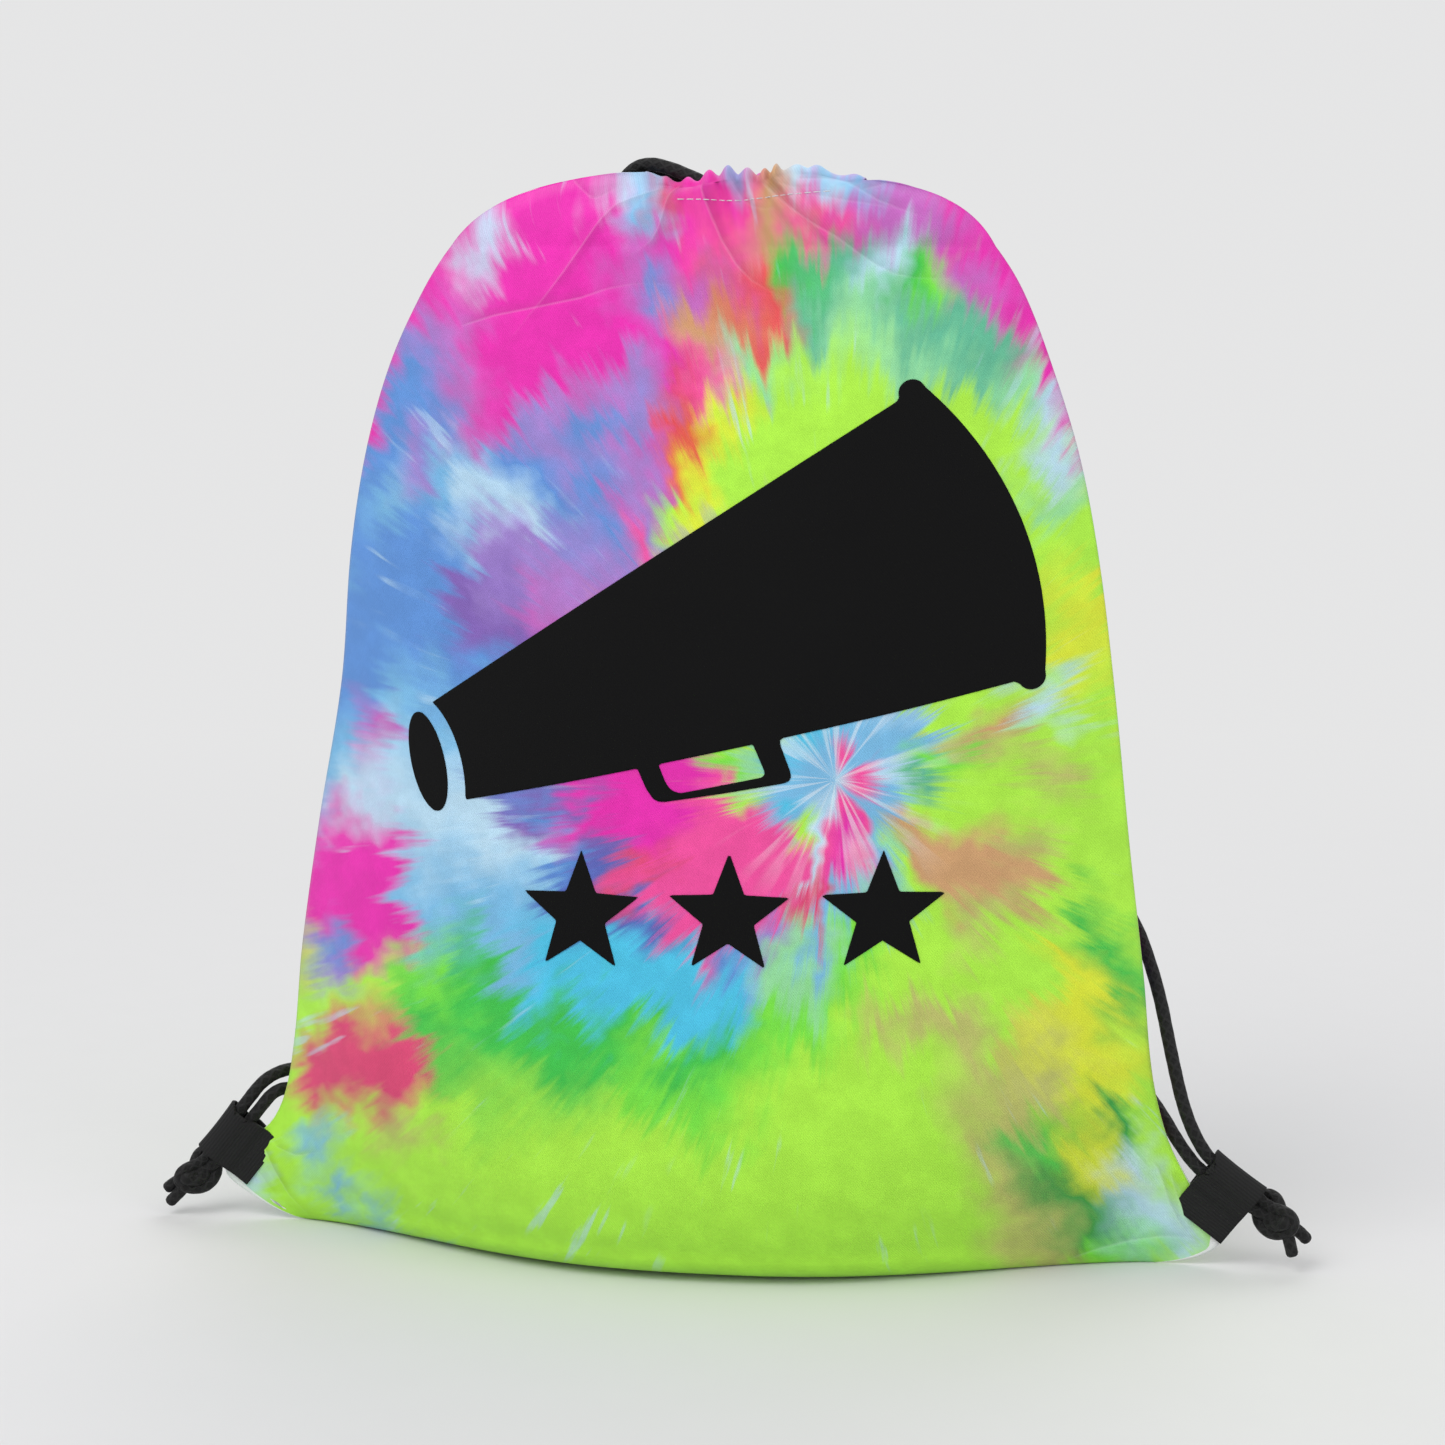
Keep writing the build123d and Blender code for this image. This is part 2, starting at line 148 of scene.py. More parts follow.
class Nodes:
    """A material's node tree, with short calls that each add one node and return its output."""

    def __init__(self, name):
        self.material = bpy.data.materials.new(name)
        self.material.use_nodes = True
        self.tree = self.material.node_tree
        self.shader = self.tree.nodes["Principled BSDF"]

    def put(self, socket, value):
        if isinstance(value, bpy.types.NodeSocket):
            self.tree.links.new(value, socket)
        elif value is not None:
            socket.default_value = value

    def node(self, kind, **settings):
        node = self.tree.nodes.new(kind)
        for key, value in settings.items():
            setattr(node, key, value)
        return node

    def math(self, operation, a, b=None):
        node = self.node("ShaderNodeMath", operation=operation)
        for socket, value in zip(node.inputs, (a, b)):
            self.put(socket, value)
        return node.outputs[0]

    def times(self, a, b):
        return self.math("MULTIPLY", a, b)

    def plus(self, a, b):
        return self.math("ADD", a, b)

    def minus(self, a, b):
        return self.math("SUBTRACT", a, b)

    def vector(self, x, y, z):
        node = self.node("ShaderNodeCombineXYZ")
        for socket, value in zip(node.inputs, (x, y, z)):
            self.put(socket, value)
        return node.outputs[0]

    def uv(self):
        return self.node("ShaderNodeUVMap", uv_map="cloth").outputs[0]

    def place(self):
        return self.node("ShaderNodeTexCoord").outputs["Object"]

    def split(self, vector):
        node = self.node("ShaderNodeSeparateXYZ")
        self.put(node.inputs[0], vector)
        return node.outputs

    def noise(self, vector, scale, detail=2.0, roughness=0.5):
        node = self.node("ShaderNodeTexNoise")
        self.put(node.inputs["Vector"], vector)
        node.inputs["Scale"].default_value = scale
        node.inputs["Detail"].default_value = detail
        node.inputs["Roughness"].default_value = roughness
        return node.outputs[0]

    def ramp(self, factor, stops):
        """stops are (place, colour), with the colour written in sRGB, or one grey number."""
        node = self.node("ShaderNodeValToRGB")
        self.put(node.inputs[0], factor)
        band = node.color_ramp
        while len(band.elements) < len(stops):
            band.elements.new(0.5)
        for element, (place, colour) in zip(band.elements, stops):
            element.position = place
            element.color = linear(colour) if isinstance(colour, tuple) else (colour, colour, colour, 1.0)
        return node.outputs[0]

    def mix(self, factor, a, b, blend="MIX"):
        node = self.node("ShaderNodeMix", data_type="RGBA", blend_type=blend)
        self.put(node.inputs["Factor"], factor)
        self.put(node.inputs["A"], a if not isinstance(a, tuple) else linear(a))
        self.put(node.inputs["B"], b if not isinstance(b, tuple) else linear(b))
        return node.outputs["Result"]

    def range(self, value, low, high, to_low=0.0, to_high=1.0):
        node = self.node("ShaderNodeMapRange", interpolation_type="SMOOTHSTEP")
        for socket, v in zip(node.inputs, (value, low, high, to_low, to_high)):
            self.put(socket, v)
        return node.outputs[0]

    def bump(self, height, distance, strength=1.0, normal=None):
        node = self.node("ShaderNodeBump")
        node.inputs["Strength"].default_value = strength
        node.inputs["Distance"].default_value = distance
        self.put(node.inputs["Height"], height)
        self.put(node.inputs["Normal"], normal)
        return node.outputs[0]

    def finish(self, colour, roughness, normal=None, sheen=0.0, specular=0.3):
        self.put(self.shader.inputs["Base Color"], colour if not isinstance(colour, tuple) else linear(colour))
        self.put(self.shader.inputs["Roughness"], roughness)
        self.put(self.shader.inputs["Normal"], normal)
        self.shader.inputs["Sheen Weight"].default_value = sheen
        self.shader.inputs["Sheen Roughness"].default_value = 0.5
        self.shader.inputs["Specular IOR Level"].default_value = specular
        return self.material


weave_pitch = 0.00085  # metres from one rib of the cloth to the next
ply_pitch = 0.0006  # and from one turn of a thread to the next


def twill(nodes, uv, pitch=weave_pitch):
    """Height of a fine diagonal weave on a uv in metres, from 0 to 1."""
    x, y, _ = nodes.split(uv)
    diagonal = nodes.plus(x, nodes.times(y, 0.8))
    rib = nodes.math("SINE", nodes.times(diagonal, 2 * math.pi / pitch))
    thread = nodes.math("SINE", nodes.times(nodes.minus(x, y), 4 * math.pi / pitch))
    both = nodes.plus(nodes.times(rib, 0.34), nodes.times(thread, 0.16))
    return nodes.plus(both, 0.5)


colours = {
    "magenta": (0.90, 0.17, 0.68),
    "pink": (0.94, 0.31, 0.62),
    "rose": (0.86, 0.28, 0.46),
    "red": (0.90, 0.30, 0.33),
    "orange": (0.90, 0.42, 0.26),
    "salmon": (0.80, 0.62, 0.44),
    "tan": (0.73, 0.74, 0.42),
    "yellow": (0.86, 0.90, 0.22),
    "lime": (0.68, 0.93, 0.28),
    "leaf": (0.47, 0.88, 0.27),
    "green": (0.25, 0.76, 0.30),
    "forest": (0.20, 0.62, 0.28),
    "teal": (0.38, 0.72, 0.58),
    "mint": (0.58, 0.86, 0.62),
    "cyan": (0.30, 0.76, 0.90),
    "sky": (0.47, 0.72, 0.88),
    "blue": (0.36, 0.56, 0.83),
    "navy": (0.33, 0.40, 0.72),
    "lilac": (0.62, 0.51, 0.80),
    "orchid": (0.76, 0.40, 0.74),
    "purple": (0.50, 0.38, 0.70),
    "mist": (0.72, 0.85, 0.93),
    "white": (0.91, 0.94, 0.96),
}

# The dye's rings about the middle of the spiral: radius, then (degrees, colour) round it,
# counter-clockwise from the right
spiral = (46.1, 172.2)
rings = [
    (0, "0 mist, 180 sky"),
    (8, "0 pink, 18 pink, 28 sky, 48 sky, 55 pink, 80 pink, 92 sky, 200 sky, 270 mist, 280 pink, 300 pink, "
        "312 sky, 328 pink, 350 pink"),
    (17, "0 mist, 20 sky, 50 sky, 120 cyan, 190 sky, 205 cyan, 225 sky, 236 lime, 248 lime, 256 mist, "
         "264 pink, 285 magenta, 298 pink, 306 sky, 350 sky"),
    (28, "0 teal, 12 leaf, 30 sky, 60 mist, 130 mint, 170 mint, 188 lime, 200 pink, 250 pink, 256 mist, "
         "264 pink, 278 magenta, 290 pink, 300 sky, 310 mint, 320 tan, 332 salmon, 345 lime"),
    (38, "0 lime, 12 leaf, 22 tan, 32 lime, 160 lime, 175 leaf, 182 pink, 250 pink, 258 rose, 266 rose, "
         "272 sky, 285 sky, 298 mint, 308 lime, 316 salmon, 335 salmon, 346 lime"),
    (52, "0 lime, 10 tan, 20 salmon, 30 lime, 160 lime, 175 magenta, 192 magenta, 205 pink, 242 pink, "
         "250 lilac, 258 mint, 264 sky, 272 mint, 282 leaf, 292 lime, 306 lime, 314 salmon, 335 salmon, "
         "348 lime"),
    (68, "0 tan, 10 lime, 22 mist, 32 lime, 160 pink, 178 magenta, 196 magenta, 202 rose, 215 pink, "
         "230 pink, 238 blue, 246 sky, 256 mint, 264 mint, 274 leaf, 286 lime, 304 lime, 314 tan, "
         "324 salmon, 334 tan, 346 lime"),
    (84, "0 lime, 15 lime, 30 yellow, 45 lime, 75 leaf, 90 lime, 150 orchid, 178 magenta, 184 purple, "
         "190 magenta, 196 purple, 205 navy, 213 rose, 219 navy, 226 cyan, 245 cyan, 251 leaf, 264 leaf, "
         "276 lime, 286 tan, 297 tan, 303 lime, 345 lime"),
    (97, "0 lime, 35 yellow, 50 lime, 110 lime, 115 yellow, 120 lime, 126 lilac, 130 pink, 136 lilac, "
         "155 orchid, 180 purple, 186 blue, 191 orchid, 198 blue, 206 navy, 214 navy, 220 cyan, 238 cyan, "
         "244 green, 252 leaf, 266 lime, 284 lime, 294 tan, 302 lime, 312 lime, 318 yellow, 325 green, "
         "335 lime"),
    (110, "0 lime, 48 lime, 54 mint, 62 lime, 112 lime, 115 yellow, 119 orange, 123 orchid, 127 lilac, "
          "131 orchid, 136 blue, 142 lilac, 150 orchid, 158 purple, 176 blue, 188 purple, 194 mist, 202 sky, "
          "212 cyan, 224 cyan, 230 green, 238 leaf, 243 green, 250 leaf, 260 lime, 284 lime, 298 tan, "
          "311 yellow, 318 yellow, 323 green, 330 lime"),
    (124, "0 lime, 50 lime, 58 mist, 64 lime, 104 lime, 110 yellow, 114 orange, 118 red, 121 orchid, "
          "126 lilac, 132 blue, 146 lilac, 157 purple, 163 blue, 170 sky, 184 mist, 192 mist, 202 sky, "
          "212 sky, 218 cyan, 223 green, 230 green, 236 leaf, 248 leaf, 256 lime, 286 lime, 296 tan, "
          "304 tan, 311 yellow, 321 green, 328 lime"),
    (138, "0 lime, 50 lime, 57 magenta, 62 mist, 67 mint, 74 teal, 82 mint, 95 lime, 104 mint, 110 pink, "
          "114 rose, 119 lilac, 126 blue, 132 lilac, 138 blue, 143 mist, 148 lilac, 153 purple, 158 purple, "
          "165 blue, 175 sky, 186 mist, 200 sky, 211 green, 225 green, 238 lime, 286 lime, 293 tan, "
          "299 green, 308 yellow, 318 lime"),
    (152, "0 lime, 50 lime, 58 magenta, 66 magenta, 71 teal, 80 teal, 88 mint, 95 teal, 100 red, 109 salmon, "
          "114 magenta, 120 lilac, 125 orchid, 131 lilac, 138 blue, 144 mist, 153 blue, 163 blue, 171 sky, "
          "185 mist, 197 sky, 208 leaf, 214 green, 235 lime, 286 lime, 292 tan, 299 forest, 303 yellow, "
          "308 forest, 311 lime"),
    (166, "0 lime, 55 magenta, 71 magenta, 76 orchid, 80 leaf, 83 green, 86 mist, 90 teal, 97 green, "
          "100 red, 108 orchid, 112 blue, 116 magenta, 132 magenta, 140 orchid, 144 sky, 150 blue, 170 blue, "
          "176 orchid, 185 mist, 190 magenta, 201 magenta, 204 leaf, 211 green, 231 lime, 286 lime, 292 tan, "
          "298 forest, 302 yellow, 307 mist, 311 lime"),
    (181, "0 lime, 55 magenta, 76 magenta, 81 orchid, 89 orchid, 93 pink, 97 salmon, 104 pink, 109 magenta, "
          "113 orchid, 118 magenta, 132 magenta, 136 orchid, 141 blue, 146 lilac, 151 sky, 158 blue, "
          "172 blue, 180 sky, 186 mist, 190 magenta, 201 magenta, 204 lime, 211 rose, 217 rose, 220 lime, "
          "287 lime, 292 tan, 297 forest, 303 mist, 309 lime"),
    (197, "0 lime, 60 magenta, 84 magenta, 89 sky, 93 mist, 97 salmon, 101 pink, 105 magenta, 108 rose, "
          "111 sky, 114 magenta, 127 magenta, 133 orchid, 139 blue, 150 blue, 185 sky, 192 magenta, "
          "196 magenta, 199 blue, 203 lilac, 206 lime, 209 rose, 217 rose, 221 tan, 225 lime, 292 lime, "
          "297 leaf, 303 mist, 308 lime"),
    (218, "0 lime, 60 magenta, 90 magenta, 106 sky, 112 mist, 118 magenta, 124 magenta, 127 mist, "
          "131 magenta, 190 magenta, 204 lime, 208 lime, 211 rose, 214 rose, 217 lime, 300 lime"),
    (240, "0 lime, 60 magenta, 190 magenta, 207 lime, 214 lime, 216 sky, 219 lime, 221 sky, 223 lime, "
          "226 sky, 229 lime, 232 sky, 235 lime"),
    (262, "0 lime, 60 magenta, 190 magenta, 207 lime"),
    (278, "0 lime, 208 lime, 212 mist, 217 mist, 220 lime"),
]


def dyed_cloth():
    """Spiral tie-dye: rings of colour blended outwards, their edges feathered along the radius."""
    nodes = Nodes("tie_dye_cloth")
    uv = nodes.uv()
    x, y, _ = nodes.split(uv)
    east = nodes.minus(x, spiral[0] * MM)
    north = nodes.minus(y, spiral[1] * MM)
    squares = nodes.plus(nodes.times(east, east), nodes.times(north, north))
    radius = nodes.math("SQRT", squares)
    safe = nodes.math("MAXIMUM", radius, 0.002)
    cosine = nodes.math("DIVIDE", east, safe)
    sine = nodes.math("DIVIDE", north, safe)

    def streaks(fineness, length, detail=2.0, roughness=0.5):
        """Noise drawn out along the radius: fineness is how many turns of it there are in a radian."""
        vector = nodes.vector(
            nodes.times(cosine, fineness),
            nodes.times(sine, fineness),
            nodes.math("DIVIDE", radius, length),
        )
        return nodes.noise(vector, 1.0, detail, roughness)

    blots = nodes.noise(uv, 1 / 0.022, 3.0, 0.55)
    drift = nodes.noise(nodes.vector(nodes.plus(x, 3.7), y, 0.4), 1 / 0.030, 3.0, 0.6)
    feather = streaks(11.0, 0.085, 4.0, 0.66)
    bristle = streaks(38.0, 0.11, 2.0, 0.6)

    def centred(value, amount):
        return nodes.times(nodes.minus(value, 0.5), amount)

    calm = nodes.math("MINIMUM", nodes.math("DIVIDE", radius, 0.06), 1.0)
    ragged = nodes.plus(centred(feather, 0.062), centred(bristle, 0.020))
    ragged = nodes.plus(ragged, centred(blots, 0.009))
    reach = nodes.plus(radius, nodes.times(ragged, calm))
    turn = nodes.math("DIVIDE", nodes.math("ARCTAN2", north, east), 2 * math.pi)
    wobble = nodes.math("DIVIDE", centred(drift, 0.008), nodes.math("MAXIMUM", radius, 0.03))
    turn = nodes.math("FRACT", nodes.plus(nodes.plus(turn, wobble), 1.0))

    colour = None
    for i, (ring, text) in enumerate(rings):
        stops = []
        for word in text.split(","):
            degrees, name = word.split()
            stops.append((float(degrees) / 360, colours[name]))
        stops.append((1.0, stops[0][1]))
        band = nodes.ramp(turn, stops)
        if colour is None:
            colour = band
        else:
            colour = nodes.mix(nodes.range(reach, rings[i - 1][0] * MM, ring * MM), colour, band)

    # Pale streaks where the folded cloth kept the dye out, and deeper ones where it pooled
    outer = nodes.range(radius, 0.07, 0.12)
    pale = nodes.range(streaks(30.0, 0.05, 3.0, 0.55), 0.61, 0.71)
    where = nodes.range(nodes.noise(uv, 1 / 0.045, 2.0), 0.45, 0.58)
    pale = nodes.times(nodes.times(pale, where), outer)
    colour = nodes.mix(nodes.times(pale, 0.5), colour, colours["mist"])
    petals = nodes.range(streaks(6.0, 0.05, 2.0, 0.5), 0.50, 0.62)
    petals = nodes.times(petals, nodes.range(radius, 0.050, 0.012))
    colour = nodes.mix(nodes.times(petals, 0.42), colour, colours["white"])
    pool = nodes.range(nodes.noise(uv, 1 / 0.012, 4.0, 0.6), 0.35, 0.7, 0.93, 1.05)
    colour = nodes.mix(1.0, colour, nodes.vector(pool, pool, pool), "MULTIPLY")

    # Folds get a thin pale line, partly wear and partly a painted highlight, with painted shade on one side; the
    # weave's hollows are painted a little darker as shade and its ribs a little lighter
    colour = creased(nodes, colour)
    weave = twill(nodes, uv)
    # Painted shade and highlight: the weave's hollows a little darker, its ribs a little lighter
    tone = nodes.range(weave, 0.0, 1.0, 0.94, 1.03)
    colour = nodes.mix(1.0, colour, nodes.vector(tone, tone, tone), "MULTIPLY")
    fuzz = nodes.noise(uv, 1 / 0.0011, 2.0)
    height = nodes.plus(weave, nodes.times(fuzz, 0.5))
    rough = nodes.range(fuzz, 0.3, 0.7, 0.72, 0.86)
    return nodes.finish(colour, rough, nodes.bump(height, 0.00012, 0.55), sheen=0.12, specular=0.22)


crease_groups = 3  # lines in one group keep apart, so that each place has one nearest line in it


def creased(nodes, colour):
    """A thin pale line along each crease, partly wear and partly a painted highlight, with painted shade deepening
    the cloth's tone on one side of it.
    """
    for group in range(crease_groups):
        layer = nodes.node("ShaderNodeAttribute", attribute_name=f"crease_{group}").outputs["Vector"]
        off, strength, _ = nodes.split(layer)
        far = nodes.math("ABSOLUTE", off)
        # The pale line along the crease: partly wear, partly a painted highlight
        line = nodes.times(nodes.range(far, 0.62, 0.12), strength)
        # Painted shade that darkens the cloth on one side of the crease
        shade = nodes.times(nodes.range(off, 4.6, 0.2), nodes.range(off, -0.3, 0.5))
        shade = nodes.minus(1.0, nodes.times(nodes.times(shade, strength), 0.20))
        colour = nodes.mix(1.0, colour, nodes.vector(shade, shade, shade), "MULTIPLY")
        colour = nodes.mix(nodes.times(line, 0.07), colour, colours["white"])
    return colour


def cloth_inside():
    """The undyed face of the cloth, where the print shows through faintly."""
    nodes = Nodes("cloth_inside")
    uv = nodes.uv()
    ghost = nodes.noise(uv, 1 / 0.05, 3.0)
    colour = nodes.ramp(ghost, [(0.35, (0.90, 0.88, 0.90)), (0.65, (0.86, 0.92, 0.88))])
    return nodes.finish(colour, 0.85, nodes.bump(twill(nodes, uv), 0.0001, 0.5), sheen=0.1, specular=0.2)


def print_ink():
    """Matt black flock that lets the weave under it show."""
    nodes = Nodes("black_flock")
    uv = nodes.uv()
    fuzz = nodes.noise(uv, 1 / 0.0007, 3.0, 0.6)
    worn = nodes.noise(uv, 1 / 0.04, 3.0)
    colour = nodes.mix(nodes.range(worn, 0.3, 0.75), (0.040, 0.040, 0.042), (0.060, 0.060, 0.062))
    height = nodes.plus(nodes.times(twill(nodes, uv), 0.6), nodes.times(fuzz, 0.6))
    rough = nodes.range(worn, 0.3, 0.7, 0.66, 0.8)
    return nodes.finish(colour, rough, nodes.bump(height, 0.00012, 0.5), specular=0.10)


def braided_cord():
    """Black braid: two sets of strands crossing round the cord. uv is turns round it and metres along."""
    nodes = Nodes("black_braid")
    turn, along, _ = nodes.split(nodes.uv())
    pitch = nodes.times(along, 2 * math.pi / 0.0042)
    around = nodes.times(turn, 2 * math.pi * 4)
    one = nodes.math("SINE", nodes.plus(pitch, around))
    other = nodes.math("SINE", nodes.minus(pitch, around))
    over = nodes.math("MAXIMUM", one, other)
    drawn_out = nodes.vector(nodes.times(turn, 40.0), nodes.times(along, 900.0), 0.0)
    fibre = nodes.noise(drawn_out, 1.0, 2.0)
    height = nodes.plus(nodes.range(over, -0.2, 1.0), nodes.times(fibre, 0.3))
    # Painted shade: the grooves between the strands are darker than their tops, with random fibre tone mixed in
    colour = nodes.mix(nodes.range(height, 0.3, 1.2), (0.035, 0.035, 0.037), (0.10, 0.10, 0.103))
    rough = nodes.range(fibre, 0.3, 0.7, 0.6, 0.78)
    return nodes.finish(colour, rough, nodes.bump(height, 0.00035, 0.8), sheen=0.05, specular=0.3)


def grosgrain():
    """Black ribbed tape. uv is metres along the tape and across it."""
    nodes = Nodes("black_grosgrain")
    uv = nodes.uv()
    along, across, _ = nodes.split(uv)
    rib = nodes.math("SINE", nodes.times(along, 2 * math.pi / 0.0011))
    drawn_out = nodes.vector(nodes.times(along, 900.0), nodes.times(across, 2600.0), 0.0)
    yarn = nodes.noise(drawn_out, 1.0, 2.0)
    height = nodes.plus(nodes.times(rib, 0.5), yarn)
    colour = nodes.mix(nodes.range(yarn, 0.3, 0.7), (0.055, 0.055, 0.057), (0.11, 0.11, 0.113))
    return nodes.finish(colour, nodes.range(yarn, 0.3, 0.7, 0.62, 0.8), nodes.bump(height, 0.0002, 0.6), specular=0.3)


def thread(name, dark, light):
    """Twisted sewing thread, with its ply running across the stitch."""
    nodes = Nodes(name)
    place = nodes.place()
    x, y, z = nodes.split(place)
    slant = nodes.plus(nodes.plus(x, y), z)
    ply = nodes.math("SINE", nodes.times(slant, 2 * math.pi / ply_pitch))
    hair = nodes.noise(place, 1 / 0.0005, 2.0)
    height = nodes.plus(nodes.times(ply, 0.4), hair)
    # Painted shade: the ply's grooves are darker than its crests, with random hair tone mixed in
    colour = nodes.mix(nodes.range(height, 0.2, 1.0), dark, light)
    return nodes.finish(colour, nodes.range(hair, 0.3, 0.7, 0.5, 0.7), nodes.bump(height, 0.00012, 0.6), sheen=0.1)


cloth = dyed_cloth()
inside = cloth_inside()
ink = print_ink()
braid = braided_cord()
tape = grosgrain()
pale_thread = thread("white_thread", (0.74, 0.74, 0.76), (0.93, 0.93, 0.94))
dark_thread = thread("black_thread", (0.04, 0.04, 0.04), (0.15, 0.15, 0.155))


# ---------------------------------------------------------------------------------------------
# Camera
# ---------------------------------------------------------------------------------------------
def aim(item, target, azimuth, elevation, distance):
    """Puts a camera or a light at a distance in metres from a place that it faces. Angles are in degrees."""
    a, e = math.radians(azimuth), math.radians(elevation)
    back = Vector((math.sin(a) * math.cos(e), -math.cos(a) * math.cos(e), math.sin(e)))
    item.location = Vector(target) + back * distance
    item.rotation_mode = "QUATERNION"
    item.rotation_quaternion = (-back).to_track_quat("-Z", "Y")


def make_camera():
    data = bpy.data.cameras.new("camera")
    data.lens = 85
    data.sensor_width = 36
    camera = bpy.data.objects.new("camera", data)
    bpy.context.scene.collection.objects.link(camera)
    aim(camera, (0, 0, 0.1832), 10, 8, 1.170)
    bpy.context.scene.camera = camera


make_camera()


# ---------------------------------------------------------------------------------------------
# Tabs: where the cords pass, in each bottom corner
# ---------------------------------------------------------------------------------------------
class Tab:
    """A loop of tape at a bottom corner. way runs along its tunnel to the knot, and inward across."""

    def __init__(self, side, centre, way, reach):
        self.side = side
        self.centre = np.array(centre, float)
        self.way = unit(np.array(way, float))
        self.inward = np.array((-self.way[2], 0, self.way[0]))
        if self.inward[2] > 0:
            self.inward = -self.inward
        self.reach = reach

    def at(self, along, across=0.0, out=0.0):
        """The point so far along the tunnel from its middle, across it and towards the front."""
        return self.centre + self.way * along + self.inward * across + np.array((0, -out, 0))

    def strand_end(self, side):
        return tuple(self.at(-13.0, strand_apart * side))


tabs = {
    "left": Tab("left", (-179, 0, 30), (-0.62, 0, -0.785), 12.0),
    "right": Tab("right", (175.5, 0, 29), (0.8, 0, -0.6), 14.5),
}

# ---------------------------------------------------------------------------------------------
# Cords
# ---------------------------------------------------------------------------------------------
routes = {
    "left_strap_strand_a": [
        (6, -5, 364), (-3, -4.5, 365), (-10, -3, 368), (-17.5, -1.5, 371), (-25.5, -0.5, 372.8), (-32, 1.5, 370.2),
        (-37, 8, 364.5), (-41, 19, 353.5), (-41.5, 29, 340), (-35, 38, 310), (-23, 45, 272), (-13.5, 51, 230),
        (-8, 55, 187), (-10, 59, 145), (-24, 61, 106), (-48, 60, 76), (-78, 56, 57), (-108, 47, 48),
        (-134, 31, 47), (-150, 17, 51), (-159, 10, 53), (-166.5, 2.5, 50.5), tabs["left"].strand_end(-1),
    ],
    "left_strap_strand_b": [
        (6, 5, 362.5), (-3, 4.8, 363.5), (-10, 4.6, 366.5), (-18, 4.8, 369.2), (-26, 5, 370.8), (-32, 6.5, 368.6),
        (-35, 13, 362.5), (-35.5, 25, 351), (-29, 35, 327), (-17, 42.5, 294), (-3, 48, 256), (5, 54, 213),
        (8, 58, 168), (2, 61, 124), (-14, 63, 88), (-38, 62, 60), (-67, 58, 43), (-98, 52, 35),
        (-126, 38, 32), (-145, 24, 37), (-155, 13, 44), (-162, 2.5, 47.5), tabs["left"].strand_end(1),
    ],
    "right_strap_strand_a": [
        (43, -4.5, 362.5), (52, -4.5, 362), (59, -4, 361.5), (66, 3, 360.5), (72, 17, 353.5), (68.5, 30, 334),
        (58, 39, 304), (47, 46, 269), (40, 52, 232), (45, 55, 196), (60, 54, 165), (87, 48, 146), (115, 39, 135),
        (138, 22, 121), (149, 9, 97), (155, 2.5, 71), (160, -0.5, 52), tabs["right"].strand_end(-1),
    ],
    "right_strap_strand_b": [
        (43, 4.5, 362.5), (52, 4.5, 362), (58, 5.2, 361), (63, 12, 358.5), (63, 23, 349), (51, 35, 324),
        (37, 44, 290), (25, 50, 252), (20, 55, 212), (26, 58, 173), (45, 59, 138), (72, 58, 110), (101, 52, 88),
        (125, 40, 72), (142, 22, 59), (151.5, 9.5, 50), (157.5, 2.5, 42), tabs["right"].strand_end(1),
    ],
}


def spline_points(points, resolution=12):
    """Points along the NURBS spline that points control, all in millimetres."""
    curve = bpy.data.curves.new("route", "CURVE")
    curve.dimensions = "3D"
    curve.resolution_u = resolution
    spline = curve.splines.new("NURBS")
    spline.points.add(len(points) - 1)
    for point, place in zip(spline.points, points):
        point.co = (*(c * MM for c in place), 1.0)
    spline.order_u = 3
    spline.use_endpoint_u = True
    holder = bpy.data.objects.new("route", curve)
    mesh = bpy.data.meshes.new_from_object(holder)
    line = np.array([tuple(v.co) for v in mesh.vertices]) / MM
    bpy.data.meshes.remove(mesh)
    bpy.data.objects.remove(holder)
    bpy.data.curves.remove(curve)
    keep = np.append(True, np.linalg.norm(np.diff(line, axis=0), axis=1) > 1e-4)
    return line[keep]


def tube_mesh(line, radius, sides=16, cap=0.6):
    """A round tube along a line, with rounded ends. Returns its points, faces and uv."""
    tangents = np.gradient(line, axis=0)
    tangents /= np.linalg.norm(tangents, axis=1)[:, None]
    up = np.array((0.0, 0.0, 1.0)) if abs(tangents[0][2]) < 0.9 else np.array((1.0, 0.0, 0.0))
    normal = unit(up - tangents[0] * (up @ tangents[0]))
    along = np.append(0, np.cumsum(np.linalg.norm(np.diff(line, axis=0), axis=1)))
    rings, places = [], []
    ends = [(0, -cap * radius, 0.55), (0, -cap * radius * 0.62, 0.86)]
    ends += [(i, 0.0, 1.0) for i in range(len(line))]
    ends += [(len(line) - 1, cap * radius * 0.62, 0.86), (len(line) - 1, cap * radius, 0.55)]
    for i, ahead, share in ends:
        normal = unit(normal - tangents[i] * (normal @ tangents[i]))
        other = np.cross(tangents[i], normal)
        angles = 2 * np.pi * np.arange(sides + 1) / sides
        swell = radius * share * (1 + 0.015 * math.sin(along[i] * 0.9) + 0.01 * math.sin(along[i] * 2.3))
        centre = line[i] + tangents[i] * ahead
        rings.append(centre + swell * (np.outer(np.cos(angles), normal) + np.outer(np.sin(angles), other)))
        places.append([(k / sides, (along[i] + ahead) * MM) for k in range(sides + 1)])
    points, uv = np.concatenate(rings), np.concatenate(places)
    columns = sides + 1
    faces = grid_faces(len(rings), columns)
    last = (len(rings) - 1) * columns
    faces.append(tuple(range(sides))[::-1])
    faces.append(tuple(last + k for k in range(sides)))
    return points, faces, uv


